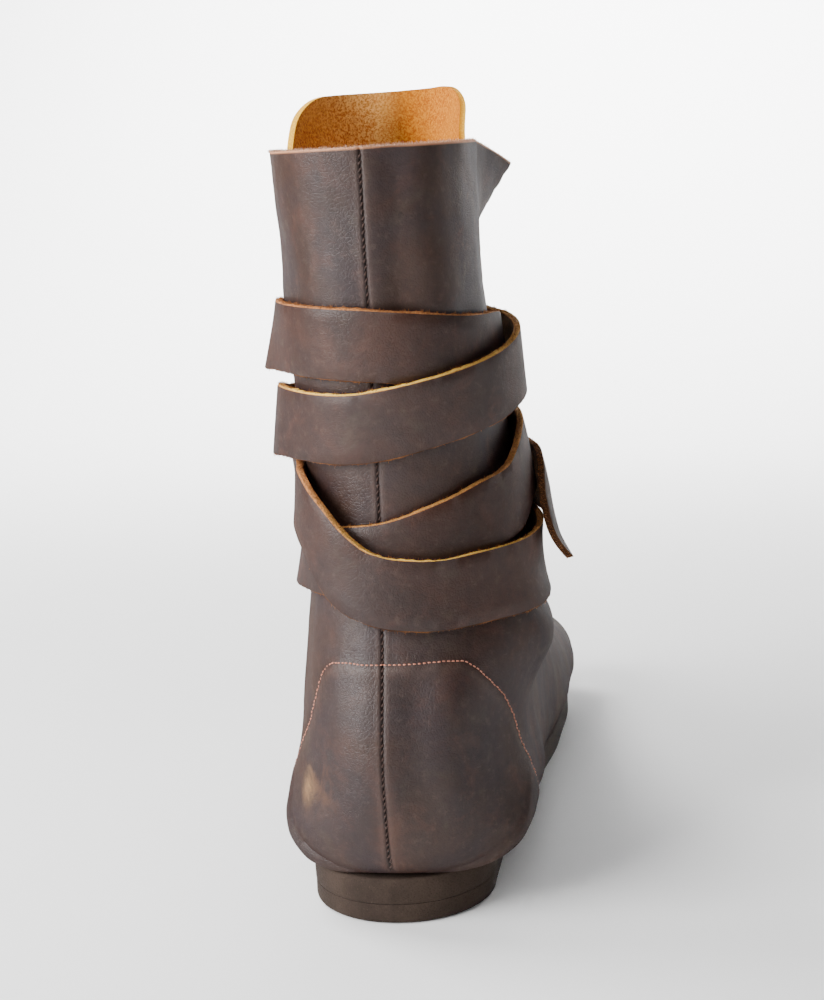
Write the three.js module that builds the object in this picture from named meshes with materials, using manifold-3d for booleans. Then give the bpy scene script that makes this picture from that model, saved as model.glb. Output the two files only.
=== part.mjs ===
// A viking boot for the left foot: a soft leather upper on a rubber sole, with a wide tongue, closed by one
// long strap that is wound four times round the ankle and the shaft.
// Millimetres. +Z is up, +Y points to the toe and +X to the inner side of the foot.
// The origin is the middle of the heel's tread, on the floor.
import * as THREE from "three";
import { mergeVertices } from "three/addons/utils/BufferGeometryUtils.js";
import Module from "manifold-3d";

const wasm = await Module();
wasm.setup();

// Sole
const SOLE_LENGTH = 288;
const BALL_WIDTH = 98;
const HEEL_WIDTH = 68;
const HEEL_LENGTH = 72;
const SOLE_THICKNESS = 10;
const LIFT_THICKNESS = 7.5;
const TOE_SPRING = 9;
const EDGE_BEVEL = 1.6;
// Upper
const INSTEP_HEIGHT = 115;
const SHAFT_HEIGHT = 275;
const SHAFT_WIDTH = 73;
const SHAFT_DEPTH = 117;
const WALL = 2.2;
const FEATHER_INSET = 2;
const ANKLE_BULGE = 11;
const LASTING_MARGIN = 8;
const HEEL_ROLL = 7;
const ROLL_HEIGHT = 14;
const THROAT_GAP = 20;
const LAPEL = 26;
const LAPEL_DROP = 52;
const COUNTER_HEIGHT = 97;
const COUNTER_STEP = 0.7;
// Tongue and insole
const TONGUE_THICKNESS = 2.2;
const TONGUE_RISE = 20;
const TONGUE_CORNER_INNER = 24;
const TONGUE_CORNER_OUTER = 24;
const TONGUE_CROWN_INNER = 4.5;
const TONGUE_CROWN_OUTER = 7;
const TONGUE_LEAN = 2;
const INSOLE_THICKNESS = 3;
// Strap
const STRAP_WIDTH = 25;
const STRAP_THICKNESS = 2.6;
const STRAP_GAP = 0.3;
// Clearances
const FIT = 0.3;
const SEAT = 0.4;
const TONGUE_CLEARANCE = 1.2;
const STRAP_CLEARANCE = 0.6;
const INSOLE_CLEARANCE = 2.4;
// Slivers thinner than this are joined to their neighbours.
const LEAST_DETAIL = 0.05;

const HEEL_BACK = -HEEL_LENGTH / 2;
const HEEL_TOP = LIFT_THICKNESS + SOLE_THICKNESS;
const DEGREE = Math.PI / 180;

const vec = (x, y, z) => new THREE.Vector3(x, y, z);
const clamp01 = (t) => Math.min(1, Math.max(0, t));
const mix = (a, b, t) => a + (b - a) * t;
const range = (n) => Array.from({ length: n }, (_, i) => i);

// Goes from 0 at a to 1 at b with a soft start and end.
function smooth(a, b, t) {
  const s = clamp01((t - a) / (b - a));
  return s * s * (3 - 2 * s);
}

// Rows of a table as objects, one property for each named column.
function table(columns, rows) {
  return rows.map((row) => Object.fromEntries(columns.map((name, i) => [name, row[i]])));
}

// A smooth curve through one column of a table, against its key column.
function curve(rows, key, column) {
  const x = rows.map((row) => row[key]);
  const y = rows.map((row) => row[column]);
  const last = x.length - 1;
  const slope = (i) => (y[i + 1] - y[i]) / (x[i + 1] - x[i]);
  const tangent = (i) => {
    if (i === 0) return slope(0);
    if (i === last) return slope(last - 1);
    const w = (x[i] - x[i - 1]) / (x[i + 1] - x[i - 1]);
    return mix(slope(i - 1), slope(i), w);
  };
  return (t) => {
    let i = 0;
    while (i < last - 1 && t > x[i + 1]) i += 1;
    const step = x[i + 1] - x[i];
    const s = clamp01((t - x[i]) / step);
    const a = y[i] + s * s * (3 - 2 * s) * (y[i + 1] - y[i]);
    const b = s * (1 - s) * (1 - s) * step * tangent(i);
    const c = s * s * (s - 1) * step * tangent(i + 1);
    return a + b + c;
  };
}

// SOLE

// Half width of the sole without its round ends, as shares of the heel's and the ball's width, and how far
// its middle line lies to the inner side, as a share of the ball's width.
const soleRows = table(
  ["along", "heelShare", "ballShare", "middle"],
  [
    [0.0, 0.5, 0.0, -0.012],
    [0.14, 0.5, 0.0, -0.012],
    [0.25, 0.41, 0.06, -0.004],
    [0.33, 0.25, 0.18, -0.006],
    [0.445, 0.08, 0.34, -0.015],
    [0.57, 0.0, 0.46, -0.03],
    [0.66, 0.0, 0.495, -0.032],
    [0.76, 0.0, 0.5, -0.022],
    [0.85, 0.0, 0.485, 0.02],
    [0.93, 0.0, 0.46, 0.07],
    [1.0, 0.0, 0.44, 0.12],
  ],
);
const soleMiddle = curve(soleRows, "along", "middle");
const soleHeelShare = curve(soleRows, "along", "heelShare");
const soleBallShare = curve(soleRows, "along", "ballShare");
const TOE_END = { from: 0.77, power: 2.3 };
const LEAST_HALF = 0.4;

const alongOf = (y) => (y - HEEL_BACK) / SOLE_LENGTH;
const yOf = (along) => HEEL_BACK + along * SOLE_LENGTH;

// How much of its full width the sole keeps in its round heel and toe.
function endShare(y, inset) {
  const radius = HEEL_WIDTH / 2 - inset;
  const fromHeel = y - HEEL_BACK - inset;
  const heel = clamp01((radius - fromHeel) / radius);
  const toeStart = yOf(TOE_END.from);
  const toe = clamp01((y - toeStart) / (yOf(1) - inset - toeStart));
  const heelShare = Math.sqrt(1 - heel * heel);
  return heelShare * (1 - toe ** TOE_END.power) ** (1 / TOE_END.power);
}

// The two edges of the sole at a place along it, as x values, with the outline drawn in by inset.
function soleEdges(y, inset) {
  const along = clamp01(alongOf(y));
  const middle = soleMiddle(along) * BALL_WIDTH;
  const full = soleHeelShare(along) * HEEL_WIDTH + soleBallShare(along) * BALL_WIDTH;
  const half = Math.max(LEAST_HALF, (full - inset) * endShare(y, inset));
  return { inner: middle + half, outer: middle - half, middle, half };
}

// Height of the outsole's underside: up on the heel lift, down through the arch, up at the toe.
function soleBottom(y) {
  const along = alongOf(y);
  const arch = 1 - smooth(0.27, 0.5, along);
  const spring = clamp01((along - 0.72) / 0.28) ** 1.7;
  return LIFT_THICKNESS * arch + TOE_SPRING * spring;
}
const soleTop = (y) => soleBottom(y) + SOLE_THICKNESS;

// Places along the sole, close together in the round ends.
function soleStations(inset, heelSteps, middleSteps, toeSteps) {
  const start = HEEL_BACK + inset;
  const end = yOf(1) - inset;
  const heelEnd = HEEL_BACK + HEEL_WIDTH / 2;
  const toeStart = yOf(TOE_END.from);
  const heel = range(heelSteps).map((i) => mix(heelEnd, start, Math.cos((90 * DEGREE * i) / heelSteps)));
  const middle = range(middleSteps).map((i) => mix(heelEnd, toeStart, i / middleSteps));
  const toe = range(toeSteps + 1).map((i) => mix(toeStart, end, Math.sin((90 * DEGREE * i) / toeSteps)));
  return [...heel, ...middle, ...toe];
}

// A closed solid through rings of points, each ring with as many points as the others.
function skin(rings) {
  const count = rings[0].length;
  const points = rings.flat();
  const faces = [];
  for (let r = 0; r < rings.length - 1; r += 1) {
    for (let i = 0; i < count; i += 1) {
      const a = r * count + i;
      const b = r * count + ((i + 1) % count);
      faces.push([a, b, b + count], [a, b + count, a + count]);
    }
  }
  const lastRing = (rings.length - 1) * count;
  for (let i = 1; i < count - 1; i += 1) {
    faces.push([0, i + 1, i], [lastRing, lastRing + i, lastRing + i + 1]);
  }
  return { points, faces };
}

// A slab that follows the sole: its ring at each station runs round the section.
function slab(stations, layers) {
  const rings = stations.map((y) => {
    const side = (name) => layers.map((layer) => {
      const at = Math.min(Math.max(y, HEEL_BACK + layer.inset), yOf(1) - layer.inset);
      return vec(soleEdges(at, layer.inset)[name], at, layer.height(at));
    });
    return [...side("inner"), ...side("outer").reverse()];
  });
  return skin(rings);
}

function outsole() {
  return slab(soleStations(0, 7, 18, 9), [
    { inset: 0.6, height: (y) => soleTop(y) },
    { inset: 0, height: (y) => soleTop(y) - EDGE_BEVEL },
    { inset: EDGE_BEVEL / 2, height: (y) => soleBottom(y) + EDGE_BEVEL },
    { inset: EDGE_BEVEL * 1.5, height: (y) => soleBottom(y) },
  ]);
}

function heelLift() {
  const stations = soleStations(0, 7, 18, 9).filter((y) => y < HEEL_BACK + HEEL_LENGTH - EDGE_BEVEL);
  stations.push(HEEL_BACK + HEEL_LENGTH);
  const top = LIFT_THICKNESS - FIT;
  return slab(stations, [
    { inset: EDGE_BEVEL / 2, height: () => top },
    { inset: EDGE_BEVEL / 2, height: () => EDGE_BEVEL },
    { inset: EDGE_BEVEL * 1.5, height: () => 0 },
  ]);
}

function insole() {
  const inset = FEATHER_INSET + INSOLE_CLEARANCE;
  const seat = SEAT + WALL + SEAT;
  return slab(soleStations(inset, 6, 14, 8), [
    { inset, height: (y) => soleTop(y) + seat + INSOLE_THICKNESS },
    { inset, height: (y) => soleTop(y) + seat },
  ]);
}

// UPPER

// Ribs of the foot, from the toe to the ankle's bend. Each rib is a plane through a point on the upper's
// ridge (front) and one on the sole. along is a share of the sole's length, up a share of the instep height
// above the sole, crest the ridge's place and inner and outer the greatest half widths, as shares of the
// ball's width, low where along the rib the width is greatest, round how full the section is at the ridge.
const footRows = table(
  ["frontAlong", "frontUp", "soleAlong", "crest", "inner", "outer", "low", "round", "under"],
  [
    [1.008, 0.09, 1.002, 0.12, 0.12, -0.12, 0.5, 2.0, 2.2],
    [1.003, 0.17, 0.996, 0.12, 0.27, 0.04, 0.48, 2.2, 2.3],
    [0.988, 0.24, 0.982, 0.12, 0.375, 0.16, 0.46, 2.4, 2.4],
    [0.955, 0.31, 0.952, 0.115, 0.46, 0.295, 0.3, 2.2, 2.4],
    [0.9, 0.38, 0.9, 0.105, 0.495, 0.415, 0.22, 2.05, 2.4],
    [0.82, 0.475, 0.82, 0.085, 0.5, 0.5, 0.2, 2.05, 2.4],
    [0.73, 0.595, 0.73, 0.065, 0.49, 0.54, 0.24, 2.1, 2.4],
    [0.64, 0.72, 0.64, 0.05, 0.475, 0.545, 0.27, 2.2, 2.4],
    [0.56, 0.84, 0.565, 0.035, 0.462, 0.52, 0.34, 2.3, 2.5],
    [0.495, 0.925, 0.49, 0.025, 0.455, 0.485, 0.41, 2.3, 2.6],
    [0.45, 0.985, 0.4, 0.015, 0.455, 0.45, 0.48, 2.35, 2.8],
    [0.422, 1.03, 0.305, 0.01, 0.45, 0.425, 0.5, 2.3, 2.9],
  ],
);

// Ribs from the ankle's bend to the top, whose front point climbs the shaft while the other goes round the
// heel and up the back. frontUp is a share of the way from the instep to the collar, frontOut a share of
// the shaft's depth from the back of the sole. backAlong is a share of the heel's width along the sole, or
// behind it if negative, and backUp a share of the way from the heel's top to the collar.
const legRows = table(
  ["frontUp", "frontOut", "backAlong", "backUp", "crest", "seam", "inner", "outer", "low", "round", "under"],
  [
    [0.035, 1.01, 0.9, 0.0, 0.01, -0.01, 0.62, 0.545, 0.5, 2.3, 3.0],
    [0.07, 0.992, 0.56, 0.0, 0.01, -0.01, 0.62, 0.53, 0.5, 2.3, 3.1],
    [0.105, 0.978, 0.3, 0.0, 0.005, -0.01, 0.62, 0.52, 0.5, 2.3, 3.3],
    [0.14, 0.969, 0.14, 0.0, 0.005, -0.01, 0.62, 0.515, 0.5, 2.3, 3.5],
    [0.17, 0.963, 0.055, 0.002, 0.0, -0.01, 0.622, 0.51, 0.51, 2.3, 3.4],
    [0.2, 0.958, -0.02, 0.015, 0.0, -0.01, 0.625, 0.506, 0.53, 2.3, 2.8],
    [0.235, 0.953, -0.08, 0.045, 0.0, -0.005, 0.63, 0.502, 0.55, 2.3, 2.4],
    [0.27, 0.949, -0.125, 0.1, -0.005, 0.0, 0.635, 0.485, 0.57, 2.3, 2.2],
    [0.31, 0.945, -0.125, 0.165, -0.005, 0.0, 0.64, 0.465, 0.59, 2.3, 2.2],
    [0.35, 0.942, -0.08, 0.235, -0.01, 0.005, 0.635, 0.448, 0.6, 2.3, 2.2],
    [0.395, 0.94, 0.0, 0.31, -0.015, 0.01, 0.62, 0.438, 0.6, 2.25, 2.2],
    [0.45, 0.94, 0.06, 0.395, -0.02, 0.015, 0.595, 0.438, 0.59, 2.2, 2.2],
    [0.52, 0.942, 0.085, 0.495, -0.025, 0.025, 0.56, 0.452, 0.57, 2.15, 2.2],
    [0.62, 0.945, 0.07, 0.61, -0.03, 0.035, 0.53, 0.48, 0.54, 2.1, 2.2],
    [0.74, 0.95, 0.02, 0.735, -0.035, 0.045, 0.5, 0.492, 0.52, 2.1, 2.2],
    [0.87, 0.958, -0.035, 0.86, -0.035, 0.055, 0.482, 0.492, 0.5, 2.1, 2.2],
    [1.0, 0.966, -0.08, 1.0, -0.03, 0.065, 0.482, 0.525, 0.5, 2.1, 2.2],
    [1.2, 0.976, -0.13, 1.2, -0.02, 0.07, 0.49, 0.54, 0.5, 2.1, 2.2],
  ],
);

// Each rib in millimetres.
const footRibs = footRows.map((row) => ({
  frontY: yOf(row.frontAlong),
  frontZ: mix(SOLE_THICKNESS, INSTEP_HEIGHT, row.frontUp) + (soleTop(yOf(row.frontAlong)) - SOLE_THICKNESS) * 0.75,
  backY: yOf(row.soleAlong),
  backZ: soleTop(Math.min(yOf(row.soleAlong), yOf(1))) + SEAT,
  crest: row.crest * BALL_WIDTH,
  seam: row.crest * BALL_WIDTH,
  inner: row.inner * BALL_WIDTH,
  outer: row.outer * BALL_WIDTH,
  low: row.low,
  round: row.round,
  under: row.under,
}));
footRibs[0].backZ = footRibs[0].frontZ;
footRibs[0].backY = footRibs[0].frontY;

const legRibs = legRows.map((row) => ({
  frontY: HEEL_BACK + row.frontOut * SHAFT_DEPTH,
  frontZ: mix(INSTEP_HEIGHT, SHAFT_HEIGHT, row.frontUp),
  backY: HEEL_BACK + row.backAlong * HEEL_WIDTH,
  backZ: mix(HEEL_TOP + SEAT, SHAFT_HEIGHT, row.backUp),
  crest: row.crest * SHAFT_WIDTH,
  seam: row.seam * SHAFT_WIDTH,
  inner: row.inner * SHAFT_WIDTH,
  outer: row.outer * SHAFT_WIDTH,
  low: row.low,
  round: row.round,
  under: row.under,
}));

const ribs = [...footRibs, ...legRibs].map((rib, i) => ({ ...rib, at: i }));
const ribColumns = Object.keys(ribs[0]).filter((name) => name !== "at");
const ribCurves = Object.fromEntries(ribColumns.map((name) => [name, curve(ribs, "at", name)]));
const ribAt = (u) => Object.fromEntries(ribColumns.map((name) => [name, ribCurves[name](u)]));

// Named ribs
const COLLAR_RIB = ribs.length - 2;
const THROAT_RIB = 8.4;
const TOP_RIB = ribs.length - 1;
const SEAM_RIB = footRibs.length + 5;
const SLEEVE_RIB = 6;

// Half of the throat's gap at a rib.
function throatHalf(u) {
  const open = smooth(THROAT_RIB, THROAT_RIB + 3, u);
  const wide = smooth(THROAT_RIB + 3, COLLAR_RIB, u);
  return (THROAT_GAP / 2) * (0.45 * open + 0.55 * wide);
}

// The leather bulges on the inner side of the ankle, under the strap's lowest turn.
const BULGE = { y: 22, z: 94, reach: 36, spread: 17 };
const bell = (distance, width) => Math.exp(-((distance / width) ** 2));
const bulgeAt = (y, z) => ANKLE_BULGE * bell(y - BULGE.y, BULGE.reach) * bell(z - BULGE.z, BULGE.spread);

// A point of the upper's outer face. side is 1 for the inner half and -1 for the outer one. angle runs from
// 0 at the ridge over 90 at the widest place to 180 at the feather edge, or at the back seam on the leg.
function formPoint(u, side, angle) {
  const rib = ribAt(u);
  const onSole = rib.backZ < HEEL_TOP + 4 * FIT || u < footRibs.length;
  const edges = soleEdges(rib.backY, FEATHER_INSET);
  const inSole = onSole && rib.backY > HEEL_BACK + FEATHER_INSET && rib.backY < yOf(1) - FEATHER_INSET;
  const feather = inSole ? (side > 0 ? edges.inner : edges.outer) : rib.seam;
  const widest = side > 0 ? rib.inner : -rib.outer;
  const sin = Math.sin(angle * DEGREE);
  const cos = Math.cos(angle * DEGREE);
  const power = angle < 90 ? 2 / rib.round : 2 / rib.under;
  const across = Math.abs(sin) ** power;
  const reach = Math.abs(cos) ** power;
  const share = angle < 90 ? rib.low + (1 - rib.low) * reach : rib.low * (1 - reach);
  const middle = angle < 90 ? rib.crest : feather;
  const sway = mix(rib.seam, rib.crest, share) * (u < footRibs.length ? 0 : across);
  const y = mix(rib.backY, rib.frontY, share);
  const z = mix(rib.backZ, rib.frontZ, share);
  const above = Math.max(0, z - soleTop(Math.min(Math.max(y, HEEL_BACK), yOf(1))) - SEAT) / ROLL_HEIGHT;
  const heel = mix(1, 0.25, smooth(0.2, 0.55, alongOf(y))) * clamp01(u);
  const roll = HEEL_ROLL * heel * (above * Math.exp(1 - above)) ** 1.7 * across;
  const bulge = side > 0 ? bulgeAt(y, z) * across : 0;
  return vec(mix(middle, widest + sway, across) + side * roll + bulge, y, z);
}

// The angle at which a half section has come a given distance from the ridge.
function angleFor(u, distance) {
  if (distance === 0) return 0;
  const rib = ribAt(u);
  const width = (rib.inner + rib.outer) / 2;
  return Math.asin(clamp01(distance / width) ** (rib.round / 2)) / DEGREE;
}

// The collar's front corner on the inner side is folded out like a lapel. It is full at the angle from and
// ends at the angle to, and goes forward and down by these shares of the way out. rise and ease are powers
// for how it grows to the collar and to the corner, cut the angle by which the throat is wider at the collar.
const LAPEL_FOLD = { from: 34, to: 84, forward: 0.3, down: 0.38, rise: 1.1, ease: 1.6, cut: 20 };
const lapelHeight = (z) => clamp01((z - SHAFT_HEIGHT + LAPEL_DROP) / LAPEL_DROP);
function lapel(point, side, angle) {
  if (side < 0) return point;
  const high = lapelHeight(point.z) ** LAPEL_FOLD.rise;
  const near = clamp01((LAPEL_FOLD.to - angle) / (LAPEL_FOLD.to - LAPEL_FOLD.from)) ** LAPEL_FOLD.ease;
  const out = LAPEL * high * near;
  return vec(point.x + out, point.y + LAPEL_FOLD.forward * out, point.z - LAPEL_FOLD.down * out);
}

const ALONG_STEPS = 2;
const ROUND_STEPS = 12;

// An open surface as points and faces, with like points joined and flat faces left out.
function weld(points, faces) {
  const index = new Map();
  const kept = [];
  const place = points.map((p) => {
    const key = [p.x, p.y, p.z].map((v) => Math.round(v * 2000)).join();
    if (!index.has(key)) {
      index.set(key, kept.length);
      kept.push(p);
    }
    return index.get(key);
  });
  const used = faces.map((f) => f.map((i) => place[i]));
  return { points: kept, faces: used.filter(([a, b, c]) => a !== b && b !== c && a !== c) };
}

// Faces of a grid of points, rows by columns.
function gridFaces(rows, columns, flip) {
  const faces = [];
  for (let r = 0; r < rows - 1; r += 1) {
    for (let c = 0; c < columns - 1; c += 1) {
      const a = r * columns + c;
      const b = a + 1;
      const d = a + columns;
      const e = d + 1;
      faces.push(...(flip ? [[a, b, e], [a, e, d]] : [[a, e, b], [a, d, e]]));
    }
  }
  return faces;
}

function pointNormals({ points, faces }) {
  const normals = points.map(() => vec(0, 0, 0));
  for (const [a, b, c] of faces) {
    const ab = points[b].clone().sub(points[a]);
    const n = ab.cross(points[c].clone().sub(points[a]));
    for (const i of [a, b, c]) normals[i].add(n);
  }
  return normals.map((n) => n.normalize());
}

// Makes an open surface into a closed wall between two offsets from it, outwards being positive.
function thicken(surface, outer, inner) {
  const normals = pointNormals(surface);
  const shift = (distance) => surface.points.map((p, i) => p.clone().addScaledVector(normals[i], distance));
  const count = surface.points.length;
  const faces = surface.faces.map((f) => [...f]);
  for (const [a, b, c] of surface.faces) faces.push([a + count, c + count, b + count]);
  const edges = new Set();
  for (const f of surface.faces) for (const i of [0, 1, 2]) edges.add(f[i] + "," + f[(i + 1) % 3]);
  for (const edge of edges) {
    const [a, b] = edge.split(",").map(Number);
    if (!edges.has(b + "," + a)) faces.push([b, a, a + count], [b, a + count, b + count]);
  }
  return { points: [...shift(outer), ...shift(inner)], faces };
}

// The upper's surface with its throat, its open collar and the hole under the foot.
function upperSurface() {
  const places = [];
  for (let u = 0; u <= COLLAR_RIB * ALONG_STEPS; u += 1) places.push(u / ALONG_STEPS);
  const points = [];
  const faces = [];
  for (const side of [1, -1]) {
    const start = points.length;
    for (const u of places) {
      const cut = side > 0 ? LAPEL_FOLD.cut * lapelHeight(ribAt(u).frontZ) : 0;
      const from = angleFor(u, throatHalf(u)) + cut;
      for (let i = 0; i <= ROUND_STEPS; i += 1) {
        const angle = mix(from, 180, i / ROUND_STEPS);
        points.push(lapel(formPoint(u, side, angle), side, angle));
      }
      const feather = points[points.length - 1];
      const rib = ribAt(u);
      const edges = soleEdges(rib.backY, FEATHER_INSET);
      const half = Math.abs(feather.x - edges.middle);
      const inSole = rib.backY > HEEL_BACK + FEATHER_INSET && rib.backY < yOf(1) - FEATHER_INSET;
      const turned = inSole && half > LEAST_HALF;
      const margin = turned ? edges.middle + side * Math.max(0, half - LASTING_MARGIN) : rib.seam;
      points.push(vec(u >= SEAM_RIB ? feather.x : margin, feather.y, feather.z));
    }
    const grid = gridFaces(places.length, ROUND_STEPS + 2, side < 0);
    faces.push(...grid.map((f) => f.map((i) => i + start)));
  }
  return weld(points, faces);
}

function solidOf({ points, faces }) {
  return new wasm.Manifold(
    new wasm.Mesh({
      numProp: 3,
      vertProperties: new Float32Array(points.flatMap((p) => [p.x, p.y, p.z])),
      triVerts: new Uint32Array(faces.flat()),
    }),
  );
}

// A shape with its faces turned outwards.
function outward({ points, faces }) {
  const volume = faces.reduce((sum, [a, b, c]) => {
    return sum + points[a].dot(points[b].clone().cross(points[c]));
  }, 0);
  return { points, faces: volume < 0 ? faces.map(([a, b, c]) => [a, c, b]) : faces };
}

function shapeOf(solid) {
  const mesh = solid.getMesh();
  const points = range(mesh.numVert).map((i) => vec(...mesh.vertProperties.slice(3 * i, 3 * i + 3)));
  const faces = range(mesh.numTri).map((i) => [...mesh.triVerts.slice(3 * i, 3 * i + 3)]);
  return { points, faces };
}

// The counter's upper edge seen from the side, for each half of the heel. from is a share of the heel's
// length, inner and outer are shares of the counter's height.
const counterRows = table(
  ["from", "inner", "outer"],
  [
    [-0.2, 1.0, 1.0],
    [0.05, 1.0, 1.0],
    [0.1, 0.99, 0.99],
    [0.13, 0.955, 0.975],
    [0.165, 0.91, 0.925],
    [0.2, 0.875, 0.835],
    [0.25, 0.83, 0.74],
    [0.35, 0.72, 0.64],
    [0.46, 0.55, 0.5],
    [0.56, 0.42, 0.38],
    [0.66, 0.3, 0.28],
    [0.74, 0.21, 0.21],
  ],
);
const COUNTER_FOOT = 0.21;

// A block that reaches from the boot's middle plane out to one side, below the counter's edge.
function counterBlock(side) {
  const name = side > 0 ? "inner" : "outer";
  const outline = counterRows.map((row) => [HEEL_BACK + row.from * HEEL_LENGTH, row[name] * COUNTER_HEIGHT]);
  const last = outline[outline.length - 1];
  const foot = COUNTER_FOOT * COUNTER_HEIGHT;
  const corners = [[outline[0][0], foot], ...outline, [last[0] + 1, foot]];
  const ring = (x) => corners.map(([y, z]) => vec(x, y, z));
  return solidOf(outward(skin([ring(0), ring(side * HEEL_WIDTH)])));
}

function upper() {
  const surface = upperSurface();
  const wall = solidOf(thicken(surface, 0, -WALL));
  const proud = solidOf(thicken(surface, COUNTER_STEP, -WALL / 2));
  const counter = proud.intersect(counterBlock(1).add(counterBlock(-1)));
  return shapeOf(wall.add(counter).simplify(LEAST_DETAIL));
}

// TONGUE

// The rib whose front point is at a given height.
function ribForFront(height) {
  let low = 0;
  let high = TOP_RIB;
  for (let i = 0; i < 40; i += 1) {
    const middle = (low + high) / 2;
    if (ribAt(middle).frontZ < height) low = middle;
    else high = middle;
  }
  return low;
}

const TONGUE = { startRib: THROAT_RIB - 1.4, foot: 42, leg: 86, rows: 22, columns: 12, spreads: 16 };

function tongue() {
  const points = [];
  const top = SHAFT_HEIGHT + TONGUE_RISE;
  const halfWidth = SHAFT_WIDTH * 0.62;
  for (let r = 0; r <= TONGUE.rows; r += 1) {
    for (let c = 0; c <= TONGUE.columns; c += 1) {
      const place = Math.sin((c / TONGUE.columns - 0.5) * Math.PI);
      const radius = place > 0 ? TONGUE_CORNER_INNER : TONGUE_CORNER_OUTER;
      const crown = place > 0 ? TONGUE_CROWN_INNER : TONGUE_CROWN_OUTER;
      const fromEdge = Math.min(1, ((1 - Math.abs(place)) * halfWidth) / radius);
      const corner = radius * (1 - Math.sqrt(1 - (1 - fromEdge) ** 2));
      const drop = corner + crown * place ** 2;
      const u = mix(TONGUE.startRib, ribForFront(top - drop), r / TONGUE.rows);
      const half = mix(TONGUE.foot, TONGUE.leg, smooth(TONGUE.startRib, TONGUE.startRib + TONGUE.spreads, u));
      const point = formPoint(u, place < 0 ? -1 : 1, Math.abs(place) * half);
      const free = smooth(SHAFT_HEIGHT + WALL, SHAFT_HEIGHT + TONGUE_RISE, point.z);
      point.x += TONGUE_LEAN * free * Math.max(0, place);
      points.push(point);
    }
  }
  const surface = { points, faces: gridFaces(TONGUE.rows + 1, TONGUE.columns + 1, false) };
  const depth = WALL + TONGUE_CLEARANCE;
  return outward(thicken(facingOut(surface), -depth, -depth - TONGUE_THICKNESS));
}

// Turns an open surface so that its normals point away from the boot's middle line.
function facingOut(surface) {
  const normals = pointNormals(surface);
  const middle = Math.floor(surface.points.length / 2);
  const p = surface.points[middle];
  const out = vec(p.x, p.y - HEEL_BACK - SHAFT_DEPTH / 2, 0);
  if (normals[middle].dot(out) > 0) return surface;
  return { points: surface.points, faces: surface.faces.map(([a, b, c]) => [a, c, b]) };
}

// STRAP

// The strap's course. turn is the angle wound in degrees, from the back over the outer side to the front,
// height a share of the shaft's height. low and high say how far its two edges stand off the leather, in
// layers of strap, and width is a share of the strap's width.
const strapRows = table(
  ["turn", "height", "low", "high", "width"],
  [
    [-165, 0.701, 0, 0, 1],
    [-120, 0.716, 0.3, 0.3, 1],
    [-80, 0.732, 0.7, 0.6, 1],
    [-40, 0.741, 0.2, 0.2, 1],
    [0, 0.762, 0, 0, 1],
    [45, 0.766, 0.4, 0.1, 1],
    [90, 0.760, 2.9, 0.3, 1],
    [135, 0.745, 1.2, 0.3, 1],
    [180, 0.732, 0.9, 0.7, 1],
    [200, 0.727, 1.2, 1.15, 1],
    [225, 0.720, 1.6, 1.6, 1],
    [250, 0.713, 2.2, 2.5, 1],
    [275, 0.704, 2.6, 3, 1],
    [300, 0.691, 1.8, 2.4, 1],
    [325, 0.679, 0.6, 1.5, 1],
    [340, 0.671, 0.2, 1.2, 1],
    [360, 0.658, 0, 0.6, 1],
    [390, 0.656, 0.6, 0.3, 1],
    [415, 0.655, 2.35, 0.8, 1],
    [450, 0.646, 2.9, 1.3, 1],
    [470, 0.638, 1.3, 0.8, 1],
    [495, 0.626, 0.5, 0.3, 1],
    [540, 0.607, 0.2, 0.2, 1],
    [585, 0.593, 0.8, 0.8, 1],
    [610, 0.576, 1.1, 1.1, 1],
    [635, 0.554, 1, 1.2, 1],
    [650, 0.536, 0.9, 1, 1],
    [677, 0.523, 0.4, 0.3, 1],
    [695, 0.508, 0.1, 0.1, 1],
    [714, 0.490, 0, 0, 1],
    [733, 0.483, 0, 0, 1],
    [763, 0.476, 0.2, 0, 1],
    [790, 0.467, 0.7, 0, 1],
    [812, 0.463, 0.9, 0.1, 1],
    [855, 0.476, 0.1, 0, 1],
    [900, 0.484, 0, 0, 1],
    [945, 0.462, 0.5, 0.6, 1],
    [990, 0.435, 0.4, 1.9, 1],
    [1006, 0.431, 0.3, 1.9, 1],
    [1040, 0.436, 0.4, 1.5, 1],
    [1068, 0.440, 0.85, 1.7, 1],
    [1080, 0.450, 1.15, 1.8, 1],
    [1088, 0.466, 1.4, 1.8, 1],
    [1095, 0.493, 1.5, 2.3, 1],
    [1104, 0.528, 1.5, 2.2, 1],
    [1113, 0.546, 1.4, 1.4, 1],
    [1125, 0.555, 1.3, 0.4, 1],
    [1150, 0.559, 1.15, 0.3, 1],
    [1170, 0.547, 1.15, 0.9, 1],
    [1190, 0.541, 1.2, 2.2, 1],
    [1215, 0.545, 1.2, 2, 1],
    [1260, 0.547, 1.25, 1.8, 1],
    [1290, 0.543, 1.7, 2.3, 1],
    [1310, 0.537, 2.4, 2.4, 1],
    [1328, 0.522, 2.9, 2.6, 0.96],
    [1340, 0.489, 3.4, 2.9, 0.86],
    [1347, 0.456, 4.1, 3.7, 0.56],
    [1351, 0.424, 4.9, 4.9, 0.08],
  ],
);
const STRAP_STEP = 7;
const TAIL_STEP = 3;
const TAIL_FROM = 1312;

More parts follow.
